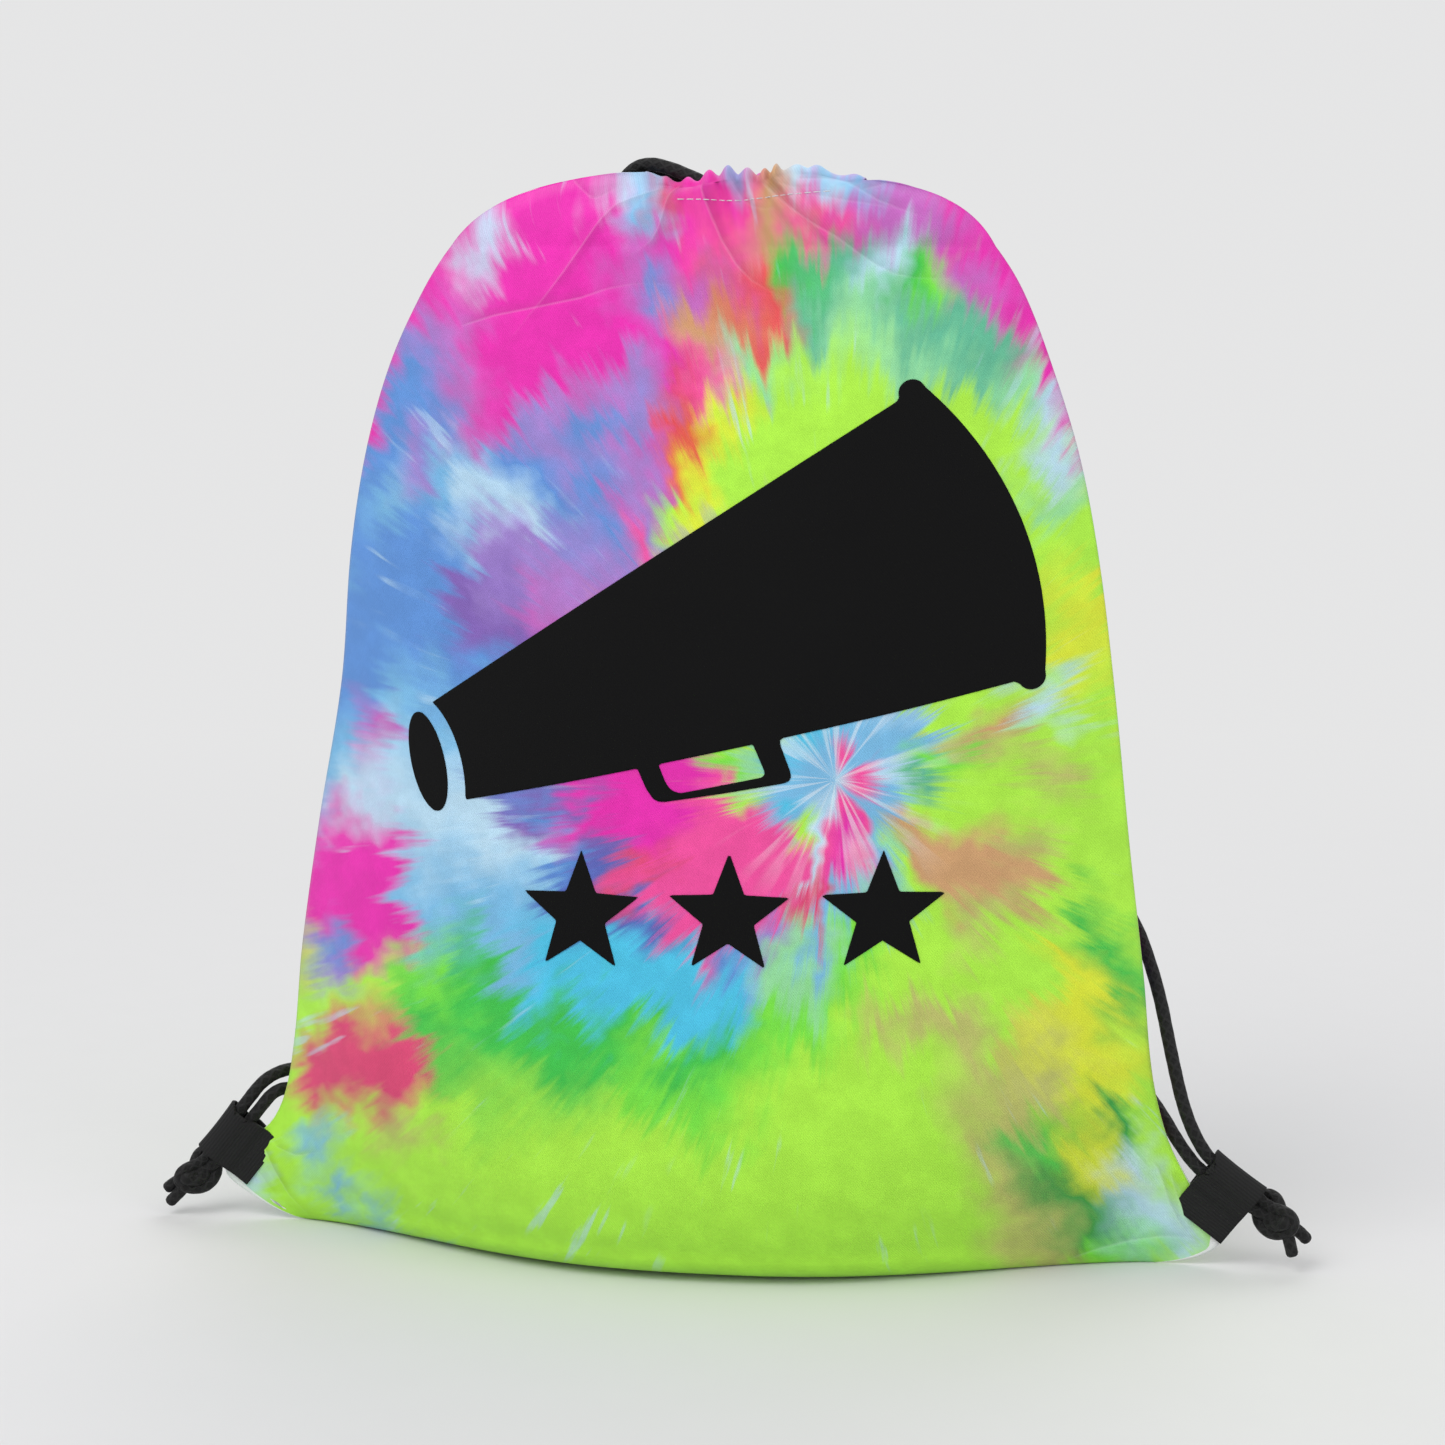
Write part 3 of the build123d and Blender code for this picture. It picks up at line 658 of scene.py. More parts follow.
def join(parts):
    """Several (points, faces, uv) as one."""
    points, faces, uv, start = [], [], [], 0
    for some_points, some_faces, some_uv in parts:
        points.append(some_points)
        faces += [tuple(start + k for k in f) for f in some_faces]
        uv.append(some_uv)
        start += len(some_points)
    return np.concatenate(points), faces, np.concatenate(uv)


def weld(piece):
    """Joins the doubled column that a closed tube keeps for its uv."""
    mesh = bmesh.new()
    mesh.from_mesh(piece.data)
    bmesh.ops.remove_doubles(mesh, verts=mesh.verts, dist=0.00001)
    bmesh.ops.recalc_face_normals(mesh, faces=mesh.faces)
    mesh.to_mesh(piece.data)
    mesh.free()


into_tab = 15.0  # a strand's tube runs this far on into the tunnel


def make_strand(name):
    """A free strand from its end of the mouth, behind the bag and into its corner's tab."""
    tab = tabs[name.split("_")[0]]
    end = np.array(routes[name][-1])
    line = spline_points([*routes[name], tuple(end + tab.way * 6), tuple(end + tab.way * into_tab)])
    points, faces, uv = tube_mesh(line, cord_radius)
    piece = make_piece(name + "_cord", points, faces, None, braid, uv, [name])
    weld(piece)
    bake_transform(piece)


for name in routes:
    make_strand(name)


def mouth_depth(x):
    """Half depth of the cord's path through the casings."""
    rise = smooth(x, -16.0, 3.0) * (1 - smooth(x, 21.0, 40.0))
    return mouth_narrow + (mouth_wide - mouth_narrow) * rise


def make_cord_in_casing(name, level, start, turn):
    """Both runs of one cord through the casings, and the loop that joins them at the mouth's far end."""
    way = 1 if turn > start else -1
    run = np.arange(start, turn, 4.0 * way)
    line = [(x, -mouth_depth(x), level) for x in run]
    line += [(turn, -4.0, level), (turn + 2.2 * way, 0, level), (turn, 4.0, level)]
    line += [(x, mouth_depth(x), level) for x in run[::-1]]
    points, faces, uv = tube_mesh(spline_points(line, 4), cord_radius)
    weld(make_piece(name + "_run", points, faces, "bag", braid, uv, [name]))


make_cord_in_casing("left_cord_in_casing", 362.0, 5.0, 47.0)
make_cord_in_casing("right_cord_in_casing", 357.4, 44.0, -19.0)


# ---------------------------------------------------------------------------------------------
# Knots: an overhand knot tied in the two strands together
# ---------------------------------------------------------------------------------------------
def overhand(tab, turns, tails):
    """Lines of the two strands of one knot. turns is (along, across, out) millimetres for each unit
    of the trefoil, and tails end the strands."""
    middle = tab.at(18.5)
    across, out = tab.inward, np.array((0.0, -1.0, 0.0))
    lines = []
    for side, tail in zip((-1, 1), tails):
        points = [tab.at(-6.5, side * strand_apart), tab.at(0, side * strand_apart), tab.at(7, side * strand_apart)]
        for t in np.linspace(-1.85, 1.85, 13):
            place = np.array((t**3 - 3 * t, t**4 - 4 * t**2 + 2, (t**5 - 10 * t) / 5))
            slope = np.array((3 * t**2 - 3, 4 * t**3 - 8 * t, 0.0)) * turns
            aside = np.array((-slope[1], slope[0], 0.0)) / (np.hypot(slope[0], slope[1]) + 0.8)
            local = place * turns + aside * side * 1.75 + np.array((0, 0, 0.35 * side))
            points.append(middle + tab.way * local[0] + across * local[1] + out * local[2])
        points += [middle + np.array(p, float) for p in tail]
        lines.append(spline_points(points, 8))
    return lines


def make_knot(side, turns, tails):
    tab = tabs[side]
    tubes = [tube_mesh(line, cord_radius - 0.1, 14) for line in overhand(tab, np.array(turns), tails)]
    points, faces, uv = join(tubes)
    body, replaced = side + "_knot_body", [side + "_knot"]
    weld(make_piece(side + "_overhand_knot", points, faces, body, braid, uv, replaced))


make_knot("left", (2.5, 1.9, 2.6), [[(-6, -2, -6), (-10.5, -2.5, -10.5)], [(-7, 1, -2), (-12, -1, -6)]])
make_knot("right", (2.5, 1.9, 2.6), [[(5, -3, -5), (6.5, -4, -11)], [(7, 2, -3), (11, 4, -8)]])


# ---------------------------------------------------------------------------------------------
# Cloth
# ---------------------------------------------------------------------------------------------
def profile(z):
    """The lines at each height in z: centre, half width, front and back depth and flank."""
    z = np.asarray(z, float)
    heights = stations[:, 0]
    i = np.clip(np.searchsorted(heights, z, side="right") - 1, 0, len(heights) - 2)
    low, high = stations[i], stations[i + 1]
    before, after = stations[np.maximum(i - 1, 0)], stations[np.minimum(i + 2, len(heights) - 1)]
    span = (high[..., 0] - low[..., 0])[..., None]
    t = (np.clip(z, heights[0], heights[-1])[..., None] - low[..., :1]) / span
    step = (high - low) / span
    start = np.where((i > 0)[..., None], (high - before) / (high[..., :1] - before[..., :1] + 1e-9), step)
    end = np.where((i < len(heights) - 2)[..., None], (after - low) / (after[..., :1] - low[..., :1]), step)
    values = (
        (1 + 2 * t) * (1 - t) ** 2 * low
        + t * (1 - t) ** 2 * span * start
        + t * t * (3 - 2 * t) * high
        + t * t * (t - 1) * span * end
    )[..., 1:]
    share = np.sqrt(np.clip(1 - (1 - z / heel) ** 2, 0, 1))[..., None]
    return np.where((z < heel)[..., None], base + (stations[0][1:] - base) * share, values)


def depth_at(u, depth, flank):
    return seam_gap + (depth - seam_gap) * (1 - np.minimum(np.abs(u), 1.0) ** section_power) ** flank


# Folds: (x, z) along each, then its height and how wide its soft side is. A negative width puts the soft
# side to the right of the line as it runs. Each has a group for its crease line: lines in one group keep apart.
front_folds = [
    ([(15, 367), (20, 363), (26.5, 357.6), (35, 352), (42, 348), (48.7, 343), (54.6, 339), (60.6, 336), (67.4, 334.7),
      (76, 334.3), (84, 335)], 1.5, -9, 0),
    ([(-4.4, 366.5), (-1.8, 360), (0.8, 354), (4.2, 347), (9.4, 339), (14.6, 334), (19.7, 331), (25, 328)],
     1.6, -11, 1),
    ([(4.7, 370), (6.8, 365), (10.2, 360), (13.7, 358), (18, 357), (24, 358)], 0.8, 5, 2),
    ([(18, 369), (21.3, 366), (26.5, 364.3), (30.7, 364), (36, 365)], 0.7, 4, 1),
    ([(27, 367), (37.5, 367), (43.5, 366), (48.6, 363.4), (54.5, 360), (64.7, 356), (73, 353.5)], 1.2, -6, 2),
    ([(31, 362), (37.5, 361.2), (43.5, 360), (52, 358.8), (65, 356.4)], 0.8, -5, 1),
    ([(49, 363.5), (53.6, 364.6), (58, 366)], 0.9, -5, 0),
    ([(-12.5, 366), (-14.7, 362.3), (-16, 355.6), (-17.3, 350.6), (-20, 346.3), (-26, 342.3)], 1.2, 6, 0),
    ([(-18, 364.4), (-25, 362.3), (-33, 359), (-37.3, 354), (-43, 346), (-50, 336), (-57, 327), (-66, 316)],
     1.7, 10, 2),
    ([(-88, 318), (-74, 322), (-58, 325), (-43, 328), (-34, 331), (-25, 332.7), (-14, 332.7)], 1.2, -8, 0),
    ([(-52, 368), (-47, 364.5), (-42, 360.5), (-38, 362), (-32, 366)], 0.9, -5, 1),
    ([(150, 36), (152.5, 30), (155, 22), (159, 14), (163, 9)], 1.6, 5, 0),
    ([(155, 33), (157, 26), (159.5, 19), (163, 10)], 1.1, -4, 1),
    ([(122, 3), (131, 6), (141, 8.5), (152, 10), (162, 9.6), (171, 5)], 1.7, -6, 2),
    ([(-171, 30), (-167, 24), (-163, 17), (-157, 9), (-150, 3)], 1.3, 5, 0),
    ([(-174, 21), (-169, 13), (-162, 6)], 0.8, 3, 2),
    ([(-162, 25), (-153, 24.5), (-142, 28)], 1.0, 5, 1),
]
back_folds = [
    ([(14, 366), (26, 352), (40, 338), (58, 327), (78, 322)], 1.5, 9, 0),
    ([(0, 366), (-6, 350), (-9, 330), (-5, 306), (2, 286)], 1.4, -9, 1),
    ([(-14, 362), (-26, 350), (-44, 341), (-66, 336), (-86, 335)], 1.5, 8, 0),
    ([(30, 364), (48, 358), (66, 353), (82, 348)], 1.1, -6, 1),
    ([(8, 366), (14, 344), (24, 320), (30, 298)], 1.1, 7, 2),
    ([(-26, 362), (-42, 357), (-60, 355), (-78, 350)], 1.0, -5, 2),
    ([(-90, 300), (-70, 306), (-44, 308), (-20, 316)], 1.0, 8, 2),
    ([(150, 34), (153, 27), (157, 19), (161, 10)], 1.3, 5, 0),
    ([(120, 3), (136, 7), (150, 10), (163, 11)], 1.2, -5, 1),
    ([(-171, 30), (-165, 21), (-158, 10), (-152, 3)], 1.2, 5, 0),
    ([(-130, 3), (-142, 8), (-154, 13), (-164, 20)], 1.0, -5, 2),
]

# Broad swells of the filled bag: (x, z, reach in x, reach in z, height)
front_swells = [
    (-58, 300, 42, 26, 1.8), (62, 300, 40, 24, 1.4), (0, 318, 26, 20, -1.6), (-104, 235, 26, 60, -1.0),
    (100, 225, 24, 56, -0.9), (-70, 60, 60, 34, 1.2), (60, 52, 66, 30, 1.0), (0, 20, 90, 12, -0.8),
    (-128, 60, 22, 30, 1.6), (124, 70, 22, 34, 1.3), (-30, 120, 70, 24, 0.7), (70, 140, 50, 26, -0.6),
]
back_swells = [
    (54, 296, 40, 28, 2.0), (-52, 300, 44, 26, 1.6), (4, 316, 24, 26, -1.8), (90, 210, 28, 60, -1.2),
    (-92, 190, 28, 60, -1.0), (-50, 60, 60, 34, 1.2), (66, 66, 50, 34, 1.4), (0, 150, 60, 50, 1.0),
]

# Gathers along the mouth: the place of each in x at the casing, its half width, how far down it runs, how it
# leans to the right for each millimetre down, and its height
front_gathers = [
    (-9.4, 2.0, 20, -0.30, 0.9), (-2.7, 2.4, 30, 0.12, 1.3), (3.9, 2.1, 24, 0.35, 1.5), (9.9, 2.1, 26, 0.62, 1.3),
    (15.6, 1.6, 16, 0.80, 1.0), (20.2, 1.6, 20, 0.95, 1.2), (27.0, 2.6, 10, 1.0, 0.7), (33.5, 2.6, 14, 0.9, 0.7),
    (44.5, 3.2, 16, 0.8, 0.6), (-16.8, 1.8, 14, -0.5, 0.4),
]
back_gathers = [
    (-7.5, 2.2, 30, -0.35, 0.8), (-1.5, 2.2, 22, -0.2, 1.2), (4.4, 2.2, 36, -0.05, 1.3), (10.2, 2.0, 20, 0.1, 1.1),
    (15.8, 2.2, 34, 0.2, 1.3), (22.0, 2.2, 24, 0.3, 1.2), (28.4, 2.3, 30, 0.45, 1.2), (35.5, 2.6, 18, 0.6, 1.0),
    (43.0, 2.8, 22, 0.7, 0.7),
]
gather_top = 368.0  # the height that their runs are counted down from
crown = 1.6  # of the casing's turned-over top above the cloth below it
crown_lost = 1.35  # of that at the mouth's two ends
slit_left, slit_right, slit_full = 0.68, 0.54, 0.94  # t where the panels start to part, and are fully apart

# The top line of each side, without its gathers: (x, z)
front_crest = [
    (-26, 370.2), (-22, 369.0), (-17.5, 367.0), (-13.5, 365.8), (-8, 366.2), (-5.5, 366.4), (-1, 367.6), (6, 368.4),
    (13, 367.6), (18, 368.6), (23, 370.0), (30, 370.4), (34, 370.2), (38.5, 368.6), (44, 367.6), (50, 366.8),
]
back_crest = [
    (-26, 363.6), (-20, 363.0), (-13, 363.2), (-7, 364.4), (0, 366.2), (10, 367.2), (22, 367.6), (32, 367.2),
    (40, 366.0), (50, 364.6),
]


def nearest_on(line, x, z):
    """Distance from each place to a line of (x, z) points, signed by side, and the share of its length."""
    line = np.array(line, float)
    runs = np.linalg.norm(np.diff(line, axis=0), axis=1)
    before = np.append(0, np.cumsum(runs)) / runs.sum()
    best = np.full(x.shape, 1e9)
    side, share = np.zeros(x.shape), np.zeros(x.shape)
    for k, (a, b) in enumerate(zip(line, line[1:])):
        d = b - a
        t = np.clip(((x - a[0]) * d[0] + (z - a[1]) * d[1]) / (d @ d), 0, 1)
        px, pz = x - a[0] - t * d[0], z - a[1] - t * d[1]
        far = np.hypot(px, pz)
        closer = far < best
        best = np.where(closer, far, best)
        side = np.where(closer, np.sign(d[0] * pz - d[1] * px), side)
        share = np.where(closer, before[k] + t * (before[k + 1] - before[k]), share)
    return best, side, share


def fold_height_at(x, z, folds):
    """How far the folds lift the cloth, and for each group its nearest crease: millimetres off it and the strength of
    the highlight and shade painted along it.
    """
    lift = np.zeros(x.shape)
    creases = np.zeros((crease_groups, *x.shape, 2))
    nearest = np.full((crease_groups, *x.shape), 1e9)
    for line, height, soft, group in folds:
        far, side, share = nearest_on(line, x, z)
        fade = smooth(share, 0.0, 0.06) * (1 - smooth(share, 0.55, 1.0) * 0.85)
        ridge = np.exp(-((far / 1.5) ** 2))
        slope = np.exp(-((far / abs(soft)) ** 1.5)) * np.where(side * np.sign(soft) > 0, 1.0, -0.45)
        lift += 1.25 * height * fade * (0.42 * ridge + 0.62 * slope * (1 - np.exp(-((far / 1.2) ** 2))))
        closer = far < nearest[group]
        nearest[group] = np.where(closer, far, nearest[group])
        strength = fade * min(height, 1.3) / 1.3 * (1 - smooth(far, 3.0, 5.0))
        creases[group] = np.where(closer[..., None], np.stack([far * side, strength], axis=-1), creases[group])
    return lift, creases


def swell_at(x, z, swells):
    total = np.zeros(x.shape)
    for cx, cz, rx, rz, height in swells:
        total += height * np.exp(-(((x - cx) / rx) ** 2) - ((z - cz) / rz) ** 2)
    return total


def fine_noise(x, z, size, seed):
    """Smooth noise from -1 to 1 over places in x and z."""
    flat = [noise.noise((a / size, b / size, seed)) for a, b in zip(x.ravel(), z.ravel())]
    return np.array(flat).reshape(x.shape)


def surface_detail(x, z, side):
    """How far the cloth stands out from the plain shape, and its creases. side is -1 for the front."""
    front = side < 0
    lift, creases = fold_height_at(x, z, front_folds if front else back_folds)
    lift = lift + swell_at(x, z, front_swells if front else back_swells)
    lift = lift + 0.35 * fine_noise(x, z, 26.0, 3.0 + side)
    lift = lift + 0.5 * fine_noise(x, z, 14.0, 8.0 + side) * smooth(z, 285, 335)
    return lift, creases


def gather_at(x, z, side):
    """The height of the gathers, about 0 to 1.5, with soft valleys between them."""
    below = np.maximum(gather_top - z, 0)
    total = np.zeros(np.broadcast(x, z).shape)
    for place, half, run, lean, height in front_gathers if side < 0 else back_gathers:
        spread = half * (1 + below / 45)
        far = (x - place - lean * below) / spread
        total = np.maximum(total, height * np.exp(-np.abs(far) ** 2.2) * np.exp(-((below / run) ** 1.5)))
    return total


def crown_at(x):
    """Height of the casing's turned-over top above the cloth below it: almost none at the mouth's ends."""
    ends = smooth(np.abs(x - mouth_centre) / mouth_half, 0.80, 1.0)
    return crown - crown_lost * ends


def crest_at(x, side):
    line = np.array(front_crest if side < 0 else back_crest)
    soft = [np.interp(x + shift, line[:, 0], line[:, 1]) for shift in (-2.4, -1.2, 0, 1.2, 2.4)]
    return sum(soft) / len(soft)


def upper_cloth(u, t, side):
    """The cloth between the shoulder and the casing's fold: t runs from 0 to 1."""
    centre, half, front, back, flank = profile(shoulder)
    x_low, x_high = centre + half * u, mouth_centre + mouth_half * u
    x = x_low + (x_high - x_low) * (0.44 * t + 0.56 * t**2.2)
    # The front's top is its crest. The back's meets it at the sides, where the panels are sewn
    crest = crest_at(x_high, side)
    ends = crest_at(x_high, -1) - crown_at(x_high)
    sides = smooth(np.abs(u), 0.9, 1.0) * (1 - smooth(t, 0.55, 0.95))
    top = crest - crown_at(x_high)
    if side > 0:
        top = top * (1 - sides) + ends * sides
    power = 1 + np.where(u > 0, 0.62, 0.75) * u * u
    z = shoulder + (top - shoulder) * (1 - (1 - t) ** power)
    low = depth_at(u, front if side < 0 else back, flank)
    high = mouth_depth(x_high) + 3.4
    puff = 7.5 * np.sin(np.pi * np.clip(t, 0, 1)) * np.abs(u) * (1 - np.abs(u) ** 4)
    edge = smooth(np.abs(u), 0.86, 1.0)
    # The panels part only near the mouth, in a slit that lets the cords out
    opening = smooth(t, np.where(u < 0, slit_left, slit_right), slit_full)
    rise = t * (1 - edge) + opening * edge
    return x, low + (high - low) * rise + puff * (1 - edge), z


columns = 221
u_line = np.linspace(-1, 1, columns)
gather_reach = 2.3  # how far the gathers stand out below the casing


def no_creases():
    return np.zeros((crease_groups, columns, 2))


def cloth_rows(side):
    """Rows of (x, depth, z, uv height, creases) from the bottom seam up to the shoulder."""
    u = u_line
    rows = []
    centre, half, front, back, flank = base
    depth = depth_at(u, front if side < 0 else back, flank)
    span = heel * math.pi / 2 + 8
    for share in (0.004, 0.3, 0.6, 0.85):
        rows.append((centre + half * u, depth * share, np.full(columns, 0.25), -span * (1 - share), no_creases()))
    angles = np.linspace(0, math.pi / 2, 11)[1:]
    heights = [heel * (1 - math.cos(a)) for a in angles]
    heights += list(np.arange(13, 286, 3.0)) + list(np.arange(287, shoulder, 1.25))
    for z in heights:
        centre, half, front, back, flank = profile(z)
        x = centre + half * u
        level = np.full(columns, float(z))
        depth = depth_at(u, front if side < 0 else back, flank)
        lift, creases = surface_detail(x, level, side)
        fade = (1 - np.abs(u) ** 10) * (0.25 + 0.75 * min(z / heel, 1))
        lift = lift + gather_reach * gather_at(x, level, side)
        v = z if z > heel else heel - (heel - z) * 1.35
        rows.append((x, np.maximum(depth + lift * fade, seam_gap), level, v, creases))
    return rows


def upper_rows(side):
    u = u_line
    rows = []
    for t in np.linspace(0, 1, 29):
        x, depth, z = upper_cloth(u, t, side)
        lift, creases = surface_detail(x, z, side)
        gathered = gather_at(x, z, side)
        fade = 1 - np.abs(u) ** 10
        depth = depth + lift * fade * (1 - smooth(t, 0.8, 1.0)) + (gather_reach + 0.5 * t) * gathered * fade - 0.8 * t
        rows.append((x, np.maximum(depth, seam_gap), z, shoulder + t * (fold_height - shoulder), creases))
    return rows


def casing_rows(side):
    """Over the top of the casing and down its inner side."""
    u = u_line
    x, outer, z = upper_cloth(u, 1.0, side)
    gathered = gather_at(x, z, side)
    fade = 1 - np.abs(u) ** 10
    outer = outer + (gather_reach + 0.5) * gathered * fade - 0.8
    middle = mouth_depth(x)
    inner = np.maximum(middle - 2.9 - 0.8 * gathered, 0.9)
    centre, reach = (outer + inner) / 2, (outer - inner) / 2
    height = crown_at(x) + 2.3 * gathered
    rows = []
    for angle in np.linspace(0, math.pi, 9)[1:]:
        high = z + height * math.sin(angle)
        rows.append((x, centre + reach * math.cos(angle), high, fold_height + 2 * angle, no_creases()))
    for share in np.linspace(0, 1, 7)[1:]:
        drop = z + (hem_height - z) * share
        rows.append((x, inner + 0.5 * gathered * share, drop, fold_height + 7 + 9 * share, no_creases()))
    return rows


def make_panel(name, side, replaced):
    rows = cloth_rows(side) + upper_rows(side) + casing_rows(side)
    points, uv, creases = [], [], []
    for x, depth, z, v, lines in rows:
        # The loose corners: the left one is lifted by its cord and the right one lies down
        lift = 7.0 * smooth(-x, 150, 182) * (1 - smooth(z, 22, 40))
        points.append(np.stack([x, side * depth, z + lift], axis=-1))
        uv.append(np.stack([x * (-side), np.broadcast_to(v, x.shape)], axis=-1) * MM)
        creases.append(lines)
    points, uv, creases = np.concatenate(points), np.concatenate(uv), np.concatenate(creases, axis=1)
    faces = grid_faces(len(rows), columns, flip=side > 0)
    piece = make_piece(name, points, faces, "bag", cloth, uv, replaced)
    piece.data.materials.append(inside)
    for group, lines in enumerate(creases):
        layer = piece.data.attributes.new(f"crease_{group}", "FLOAT_VECTOR", "POINT")
        layer.data.foreach_set("vector", np.append(lines, 0 * lines[:, :1], axis=1).astype(np.float32).ravel())
    solid = piece.modifiers.new("thickness", "SOLIDIFY")
    solid.thickness = cloth_thickness * MM
    solid.offset = -1
    solid.material_offset = 1
    solid.use_rim = True


make_panel("front_cloth", -1, ["front_panel", "front_casing"])
make_panel("back_cloth", 1, ["back_panel", "back_casing"])


# ---------------------------------------------------------------------------------------------
# Print: a film that follows the front's own surface
# ---------------------------------------------------------------------------------------------
def front_depth(x, z):
    """How far the front cloth stands forward at each place of the printed area."""
    values = profile(z)
    u = (x - values[..., 0]) / values[..., 1]
    lift, _ = surface_detail(x, z, -1)
    lift = lift + gather_reach * gather_at(x, z, -1)
    return depth_at(u, values[..., 2], values[..., 4]) + lift * (1 - np.abs(u) ** 10)


def in_polygon(corners):
    """A signed distance to a polygon, under 0 inside it."""
    corners = np.array(corners, float)

    def distance(x, z):
        best, odd = np.full(x.shape, 1e9), np.zeros(x.shape, bool)
        for a, b in zip(corners, np.roll(corners, -1, axis=0)):
            d = b - a
            t = np.clip(((x - a[0]) * d[0] + (z - a[1]) * d[1]) / (d @ d), 0, 1)
            best = np.minimum(best, np.hypot(x - a[0] - t * d[0], z - a[1] - t * d[1]))
            crosses = (a[1] > z) != (b[1] > z)
            odd ^= crosses & (x < (b[0] - a[0]) * (z - a[1]) / (b[1] - a[1] + 1e-12) + a[0])
        return np.where(odd, -best, best)

    return distance


def in_circle(centre, radius):
    return lambda x, z: np.hypot(x - centre[0], z - centre[1]) - radius


def in_oval(centre, long_radius, short_radius, degrees):
    c, s = math.cos(math.radians(degrees)), math.sin(math.radians(degrees))

    def distance(x, z):
        along = (x - centre[0]) * c + (z - centre[1]) * s
        across = -(x - centre[0]) * s + (z - centre[1]) * c
        return (np.hypot(along / long_radius, across / short_radius) - 1) * short_radius

    return distance


def union(*shapes):
    return lambda x, z: np.minimum.reduce([shape(x, z) for shape in shapes])


def without(shape, hole):
    return lambda x, z: np.maximum(shape(x, z), -hole(x, z))


def both(one, other):
    return lambda x, z: np.maximum(one(x, z), other(x, z))


cone_angle = 23.0
cone_start = (-88.3, 176.1)
cone_length = 191.0
small_radius = 17.0
bell_radius = 51.0
bell_bulge = 16.3
rim = (194.9, 52.3)
knob_radius = 4.35
mouthpiece = ((-96.0, 172.0), 16.8, 6.8)  # an oval: centre, long and short radius
mouthpiece_gap = ((-95.4, 170.1), 24.6, 13.3)
mouthpiece_turn = 107.4
far_ahead = 260.0  # along the cone, past the bell
cone_way = (math.cos(math.radians(cone_angle)), math.sin(math.radians(cone_angle)))


def cone_point(along, across):
    return (
        cone_start[0] + cone_way[0] * along - cone_way[1] * across,
        cone_start[1] + cone_way[1] * along + cone_way[0] * across,
    )


def in_cone_polygon(*places):
    """A polygon whose corners are (along, across) the cone."""
    return in_polygon([cone_point(along, across) for along, across in places])


def megaphone_shape():
    """A cone with a bulging bell, a ring mouthpiece, a handle below and a knob at each end of the rim."""
    half = [(0, small_radius), (cone_length, bell_radius), rim]
    body = in_cone_polygon(*half, *((d, -a) for d, a in reversed(half)))
    # The rim's arc through its two ends and the bell's middle
    rise = cone_length + bell_bulge - rim[0]
    reach = (rim[1] ** 2 + rise**2) / (2 * rise)
    bell = both(
        in_circle(cone_point(cone_length + bell_bulge - reach, 0), reach),
        in_cone_polygon((rim[0] - 9, 60), (far_ahead, 60), (far_ahead, -60), (rim[0] - 9, -60)),
    )
    upper = [(170, 48), rim, (far_ahead, rim[1])]
    within = in_cone_polygon(*upper, *((d, -a) for d, a in reversed(upper)))
    knobs = [in_circle(cone_point(cone_length + 0.2, s * (bell_radius - 0.2)), knob_radius) for s in (-1, 1)]
    handle = in_polygon(
        [
            (-23, 183), (-19.3, 175.1), (-16, 168.1), (-13.7, 165), (-11.8, 164.1), (-9.6, 164.1), (8.8, 167.2),
            (29.6, 171.0), (31.2, 171.7), (31.9, 173.2), (31.4, 175.2), (28.2, 183.5), (27.6, 191), (16, 191),
            (19.2, 183.8), (23.1, 175.0), (23.2, 173.8), (22.6, 172.9), (-4.5, 167.1), (-6.8, 167.6), (-8.4, 168.8),
            (-9.7, 170.7), (-12.4, 177), (-15, 184),
        ]
    )
    gap = in_oval(*mouthpiece_gap, mouthpiece_turn)
    whole = without(union(body, both(bell, within), handle, *knobs), gap)
    return union(whole, in_oval(*mouthpiece, mouthpiece_turn))


def star_shape(centre, radius=21.0, waist=0.42):
    corners = []
    for i in range(10):
        reach = radius * (waist if i % 2 else 1.0)
        angle = math.radians(90 + 36 * i)
        corners.append((centre[0] + reach * math.cos(angle), centre[1] + reach * math.sin(angle)))
    return in_polygon(corners)


def filled(shape, low, high, step):
    """A flat mesh of everything inside a shape, cut along its edge: points in (x, z) and faces."""
    xs, zs = np.arange(low[0], high[0] + step, step), np.arange(low[1], high[1] + step, step)
    grid_x, grid_z = np.meshgrid(xs, zs, indexing="ij")
    value = shape(grid_x, grid_z)
    value = np.where(np.abs(value) < 0.03 * step, -0.03 * step, value)
    points, known, faces = [], {}, []

    def corner(i, j):
        if (i, j) not in known:
            known[i, j] = len(points)
            points.append((xs[i], zs[j]))
        return known[i, j]

    def crossing(a, b):
        key = (min(a, b), max(a, b))
        if key not in known:
            share = value[a] / (value[a] - value[b])
            known[key] = len(points)
            points.append((xs[a[0]] + (xs[b[0]] - xs[a[0]]) * share, zs[a[1]] + (zs[b[1]] - zs[a[1]]) * share))
        return known[key]

    inside_cell = value < 0
    touched = inside_cell[:-1, :-1] | inside_cell[1:, :-1] | inside_cell[:-1, 1:] | inside_cell[1:, 1:]
    for i, j in np.argwhere(touched):
        ring = [(i, j), (i + 1, j), (i + 1, j + 1), (i, j + 1)]
        face = []
        for a, b in zip(ring, ring[1:] + ring[:1]):
            if inside_cell[a]:
                face.append(corner(*a))
            if inside_cell[a] != inside_cell[b]:
                face.append(crossing(a, b))
        if len(face) > 2:
            faces.append(face)
    return np.array(points), faces


film_proud = 0.28
film_thickness = 0.35


